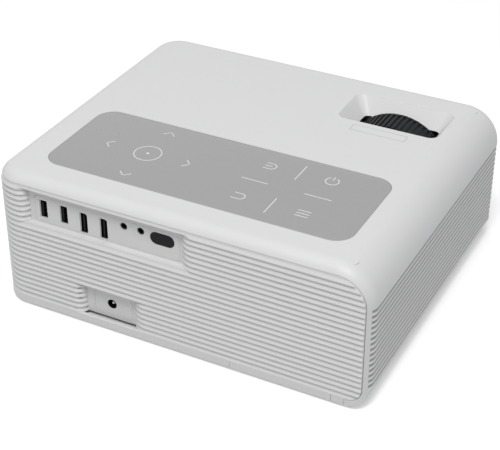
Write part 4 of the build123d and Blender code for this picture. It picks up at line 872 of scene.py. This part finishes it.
class PROJECTOR_OT_lens(bpy.types.Operator):
    """Build the ring that holds the front glass, and the light trap behind it"""

    bl_idname = "projector.lens"
    bl_label = "Lens fittings"

    def execute(self, context):
        low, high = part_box("front_glass")
        axis = middle("front_glass")
        # a turned shape's height h lies at y = -h
        along = Matrix.Translation((axis.x, 0, axis.z)) @ Matrix.Rotation(math.pi / 2, 4, "X")
        front = -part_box("lens_barrel")[0].y
        self.glass_ring(along, front, (high.x - low.x) / 2)
        self.light_trap(along, front)
        return {"FINISHED"}

    def glass_ring(self, along, front, radius):
        """Ring with a sloped inside, round the front glass."""
        inner, shoulder = radius - 2.2 * MM, radius - 1.4 * MM
        back = front - 4.0 * MM
        ring = bmesh.new()
        turned(ring, [
            (inner, back), (shoulder, front - 1.6 * MM), (radius, front - 1.2 * MM),
            (radius, front - 3.6 * MM), (inner, back),
        ], steps=96)
        soften(ring, 0.15 * MM)
        bmesh.ops.transform(ring, verts=ring.verts, matrix=along)
        finish_piece("glass_ring", ring, "plastic_black", "lens_barrel")

    def light_trap(self, along, front):
        """Fine teeth inside the barrel, which lean towards its front."""
        wall, tooth, land, pitch, count, lean = 18.4 * MM, 0.8 * MM, 0.1 * MM, 2.0 * MM, 14, 0.35
        start = front - 44 * MM
        profile = [(wall, start)]
        for step in range(count):
            profile += [
                (wall - tooth, start + (step + lean) * pitch),
                (wall - land, start + (step + 1) * pitch),
            ]
        profile += [(wall, start + count * pitch), (wall, start)]
        trap = bmesh.new()
        turned(trap, profile, steps=72)
        bmesh.ops.transform(trap, verts=trap.verts, matrix=along)
        finish_piece("light_trap", trap, "plastic_black", "lens_barrel")


class PROJECTOR_OT_disc_drive(bpy.types.Operator):
    """Build the disc hub with its sprung balls, and the pickup's lens"""

    bl_idname = "projector.disc_drive"
    bl_label = "Disc drive fittings"

    def execute(self, context):
        low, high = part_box("spindle_hub")
        centre = middle("spindle_hub")
        table, nose, shaft = 14.0 * MM, 7.4 * MM, 1.5 * MM
        table_low, table_high = high.z - 3.3 * MM, high.z - 1.6 * MM
        # the table's edge and rebate lie a little under its pad ring, and the nose's top is dished
        rebate, dish = table_high - 0.3 * MM, high.z - 0.5 * MM
        bm = bmesh.new()
        turned(bm, [
            (0, low.z), (shaft, low.z), (shaft, table_low), (table - 1 * MM, table_low),
            (table, table_low + 0.5 * MM), (table, rebate), (table - 0.4 * MM, table_high),
            (table - 3.2 * MM, table_high), (table - 3.6 * MM, rebate),
            (nose + 0.8 * MM, rebate), (nose, table_high), (nose, high.z - 0.7 * MM),
            (nose - 0.6 * MM, high.z - 0.1 * MM), (3 * MM, high.z), (2.4 * MM, dish), (0, dish),
        ])
        bmesh.ops.translate(bm, verts=bm.verts, vec=(centre.x, centre.y, 0))
        finish_piece("disc_hub", bm, "steel", "spindle", replaced=["spindle_hub"], angle=40)
        ball = context.scene.projector_sizes.chuck_ball
        self.chuck_balls(centre, nose - 0.75 * MM, table_high + 0.45 * MM, ball)
        self.pickup_lens()
        return {"FINISHED"}

    def chuck_balls(self, centre, out, height, radius):
        """Three balls round the nose, which hold the disc."""
        first, count = 30, 3
        balls = bmesh.new()
        for step in range(count):
            ball = bmesh.ops.create_icosphere(balls, subdivisions=3, radius=radius)["verts"]
            angle = math.radians(first + 360 / count * step)
            bmesh.ops.translate(balls, verts=ball, vec=(
                centre.x + out * math.cos(angle), centre.y + out * math.sin(angle), height,
            ))
        finish_piece("chuck_balls", balls, "steel", "spindle")

    def pickup_lens(self):
        """Small dome on the sled's round seat."""
        centre = middle("pickup_sled")
        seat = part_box("pickup_sled")[1].z
        base, foot = seat - 0.1 * MM, 2.1 * MM
        dome = bmesh.new()
        turned(dome, [
            (0, base), (foot, base), (1.8 * MM, seat + 0.1 * MM),
            (1.2 * MM, seat + 0.22 * MM), (0.6 * MM, seat + 0.28 * MM), (0, seat + 0.3 * MM),
        ], steps=48)
        bmesh.ops.translate(dome, verts=dome.verts, vec=(centre.x, centre.y, 0))
        finish_piece("pickup_lens", dome, "coated_glass", "sled", angle=50)


class PROJECTOR_OT_stage(bpy.types.Operator):
    """Make the floor, the light and the camera"""

    bl_idname = "projector.stage"
    bl_label = "Stage"

    def execute(self, context):
        settings = context.scene.projector_stage
        self.make_floor(context)
        self.make_sky(context, settings.sky)
        self.make_light(context, "overhead_light", OVERHEAD_PLACE, OVERHEAD_SIZE, settings.overhead)
        self.make_light(context, "side_light", SIDE_PLACE, SIDE_SIZE, settings.side)
        self.make_camera(context, settings.focal)
        context.scene.view_settings.view_transform = "Standard"
        return {"FINISHED"}

    def make_floor(self, context):
        """Pale floor, lifted to white where the camera sees it unshaded."""
        bm = bmesh.new()
        bmesh.ops.create_grid(bm, x_segments=8, y_segments=8, size=FLOOR_REACH)
        bmesh.ops.translate(bm, verts=bm.verts, vec=(0, 0, cad_low.z - 0.02 * MM))
        mesh = bpy.data.meshes.new("floor")
        bm.to_mesh(mesh)
        bm.free()
        floor = bpy.data.objects.new("floor", mesh)
        context.scene.collection.objects.link(floor)
        bounced_shade, lift = 0.72, 0.3
        finish = Finish("floor_pale", (0.90, 0.90, 0.90), 0.9)
        finish.blotches(finish.noise(0.4), 0.004)
        finish.shine(0.0)
        seen = direct_rays(finish.tree)
        finish.paint(finish.mix(seen, finish.shaded(bounced_shade), finish.colour_socket))
        finish.put(WHITE, finish.shader.inputs["Emission Color"])
        finish.put(finish.math("MULTIPLY", seen, lift), finish.shader.inputs["Emission Strength"])
        mesh.materials.append(finish.material)

    def make_sky(self, context, strength):
        """Even light from all round, which the camera, reflections and glass see as white."""
        tint = (0.975, 0.99, 1.02)
        world = bpy.data.worlds.new("studio")
        world.use_nodes = True
        tree = world.node_tree
        colour = tree.nodes.new("ShaderNodeMix")
        colour.data_type = "RGBA"
        colour.inputs[6].default_value = (*[part * strength for part in tint], 1.0)
        colour.inputs[7].default_value = WHITE
        tree.links.new(direct_rays(tree), colour.inputs[0])
        tree.links.new(colour.outputs[2], tree.nodes["Background"].inputs["Color"])
        context.scene.world = world

    def make_light(self, context, name, place, size, power):
        """Soft square light that faces the middle of the housing."""
        data = bpy.data.lights.new(name, "AREA")
        data.shape = "SQUARE"
        data.size = size
        data.energy = power
        data.color = (1.0, 0.997, 0.99)
        light = bpy.data.objects.new(name, data)
        light.location = place
        aim = Vector(LIGHT_AIM) - Vector(place)
        light.rotation_euler = aim.to_track_quat("-Z", "Y").to_euler()
        context.scene.collection.objects.link(light)

    def make_camera(self, context, focal):
        """Camera behind the housing and above it, on the socket side."""
        data = bpy.data.cameras.new("camera")
        data.lens = focal
        data.sensor_width = SENSOR_WIDTH
        data.shift_x, data.shift_y = CAMERA_SHIFT
        camera = bpy.data.objects.new("camera", data)
        camera.location = CAMERA_PLACE
        camera.rotation_euler = (
            math.pi / 2 - math.radians(CAMERA_ELEVATION), 0, math.radians(CAMERA_AZIMUTH),
        )
        context.scene.collection.objects.link(camera)
        context.scene.camera = camera


class PROJECTOR_PT_sidebar(bpy.types.Panel):
    """Steps and settings in the sidebar"""

    bl_idname = "PROJECTOR_PT_sidebar"
    bl_label = "Projector"
    bl_space_type = "VIEW_3D"
    bl_region_type = "UI"
    bl_category = "Projector"

    def draw(self, context):
        for step in STEPS:
            self.layout.operator(step.bl_idname)
        for name in GROUPS:
            settings = getattr(context.scene, name)
            box = self.layout.box()
            for key in settings.__annotations__:
                box.prop(settings, key)


STEPS = (
    PROJECTOR_OT_finishes,
    PROJECTOR_OT_touch_panel,
    PROJECTOR_OT_screws,
    PROJECTOR_OT_contacts,
    PROJECTOR_OT_lens,
    PROJECTOR_OT_disc_drive,
    PROJECTOR_OT_stage,
)
GROUPS = {
    "projector_colours": ProjectorColours,
    "projector_sizes": ProjectorSizes,
    "projector_stage": ProjectorStage,
}


def register():
    for group in GROUPS.values():
        bpy.utils.register_class(group)
    for step in (*STEPS, PROJECTOR_PT_sidebar):
        bpy.utils.register_class(step)
    for name, group in GROUPS.items():
        setattr(bpy.types.Scene, name, bpy.props.PointerProperty(type=group))


def unregister():
    for name in GROUPS:
        delattr(bpy.types.Scene, name)
    for step in (PROJECTOR_PT_sidebar, *reversed(STEPS)):
        bpy.utils.unregister_class(step)
    for group in GROUPS.values():
        bpy.utils.unregister_class(group)


def main():
    register()
    bpy.ops.projector.finishes()
    bpy.ops.projector.touch_panel()
    bpy.ops.projector.screws()
    bpy.ops.projector.contacts()
    bpy.ops.projector.lens()
    bpy.ops.projector.disc_drive()
    bpy.ops.projector.stage()


if __name__ == "__main__":
    main()
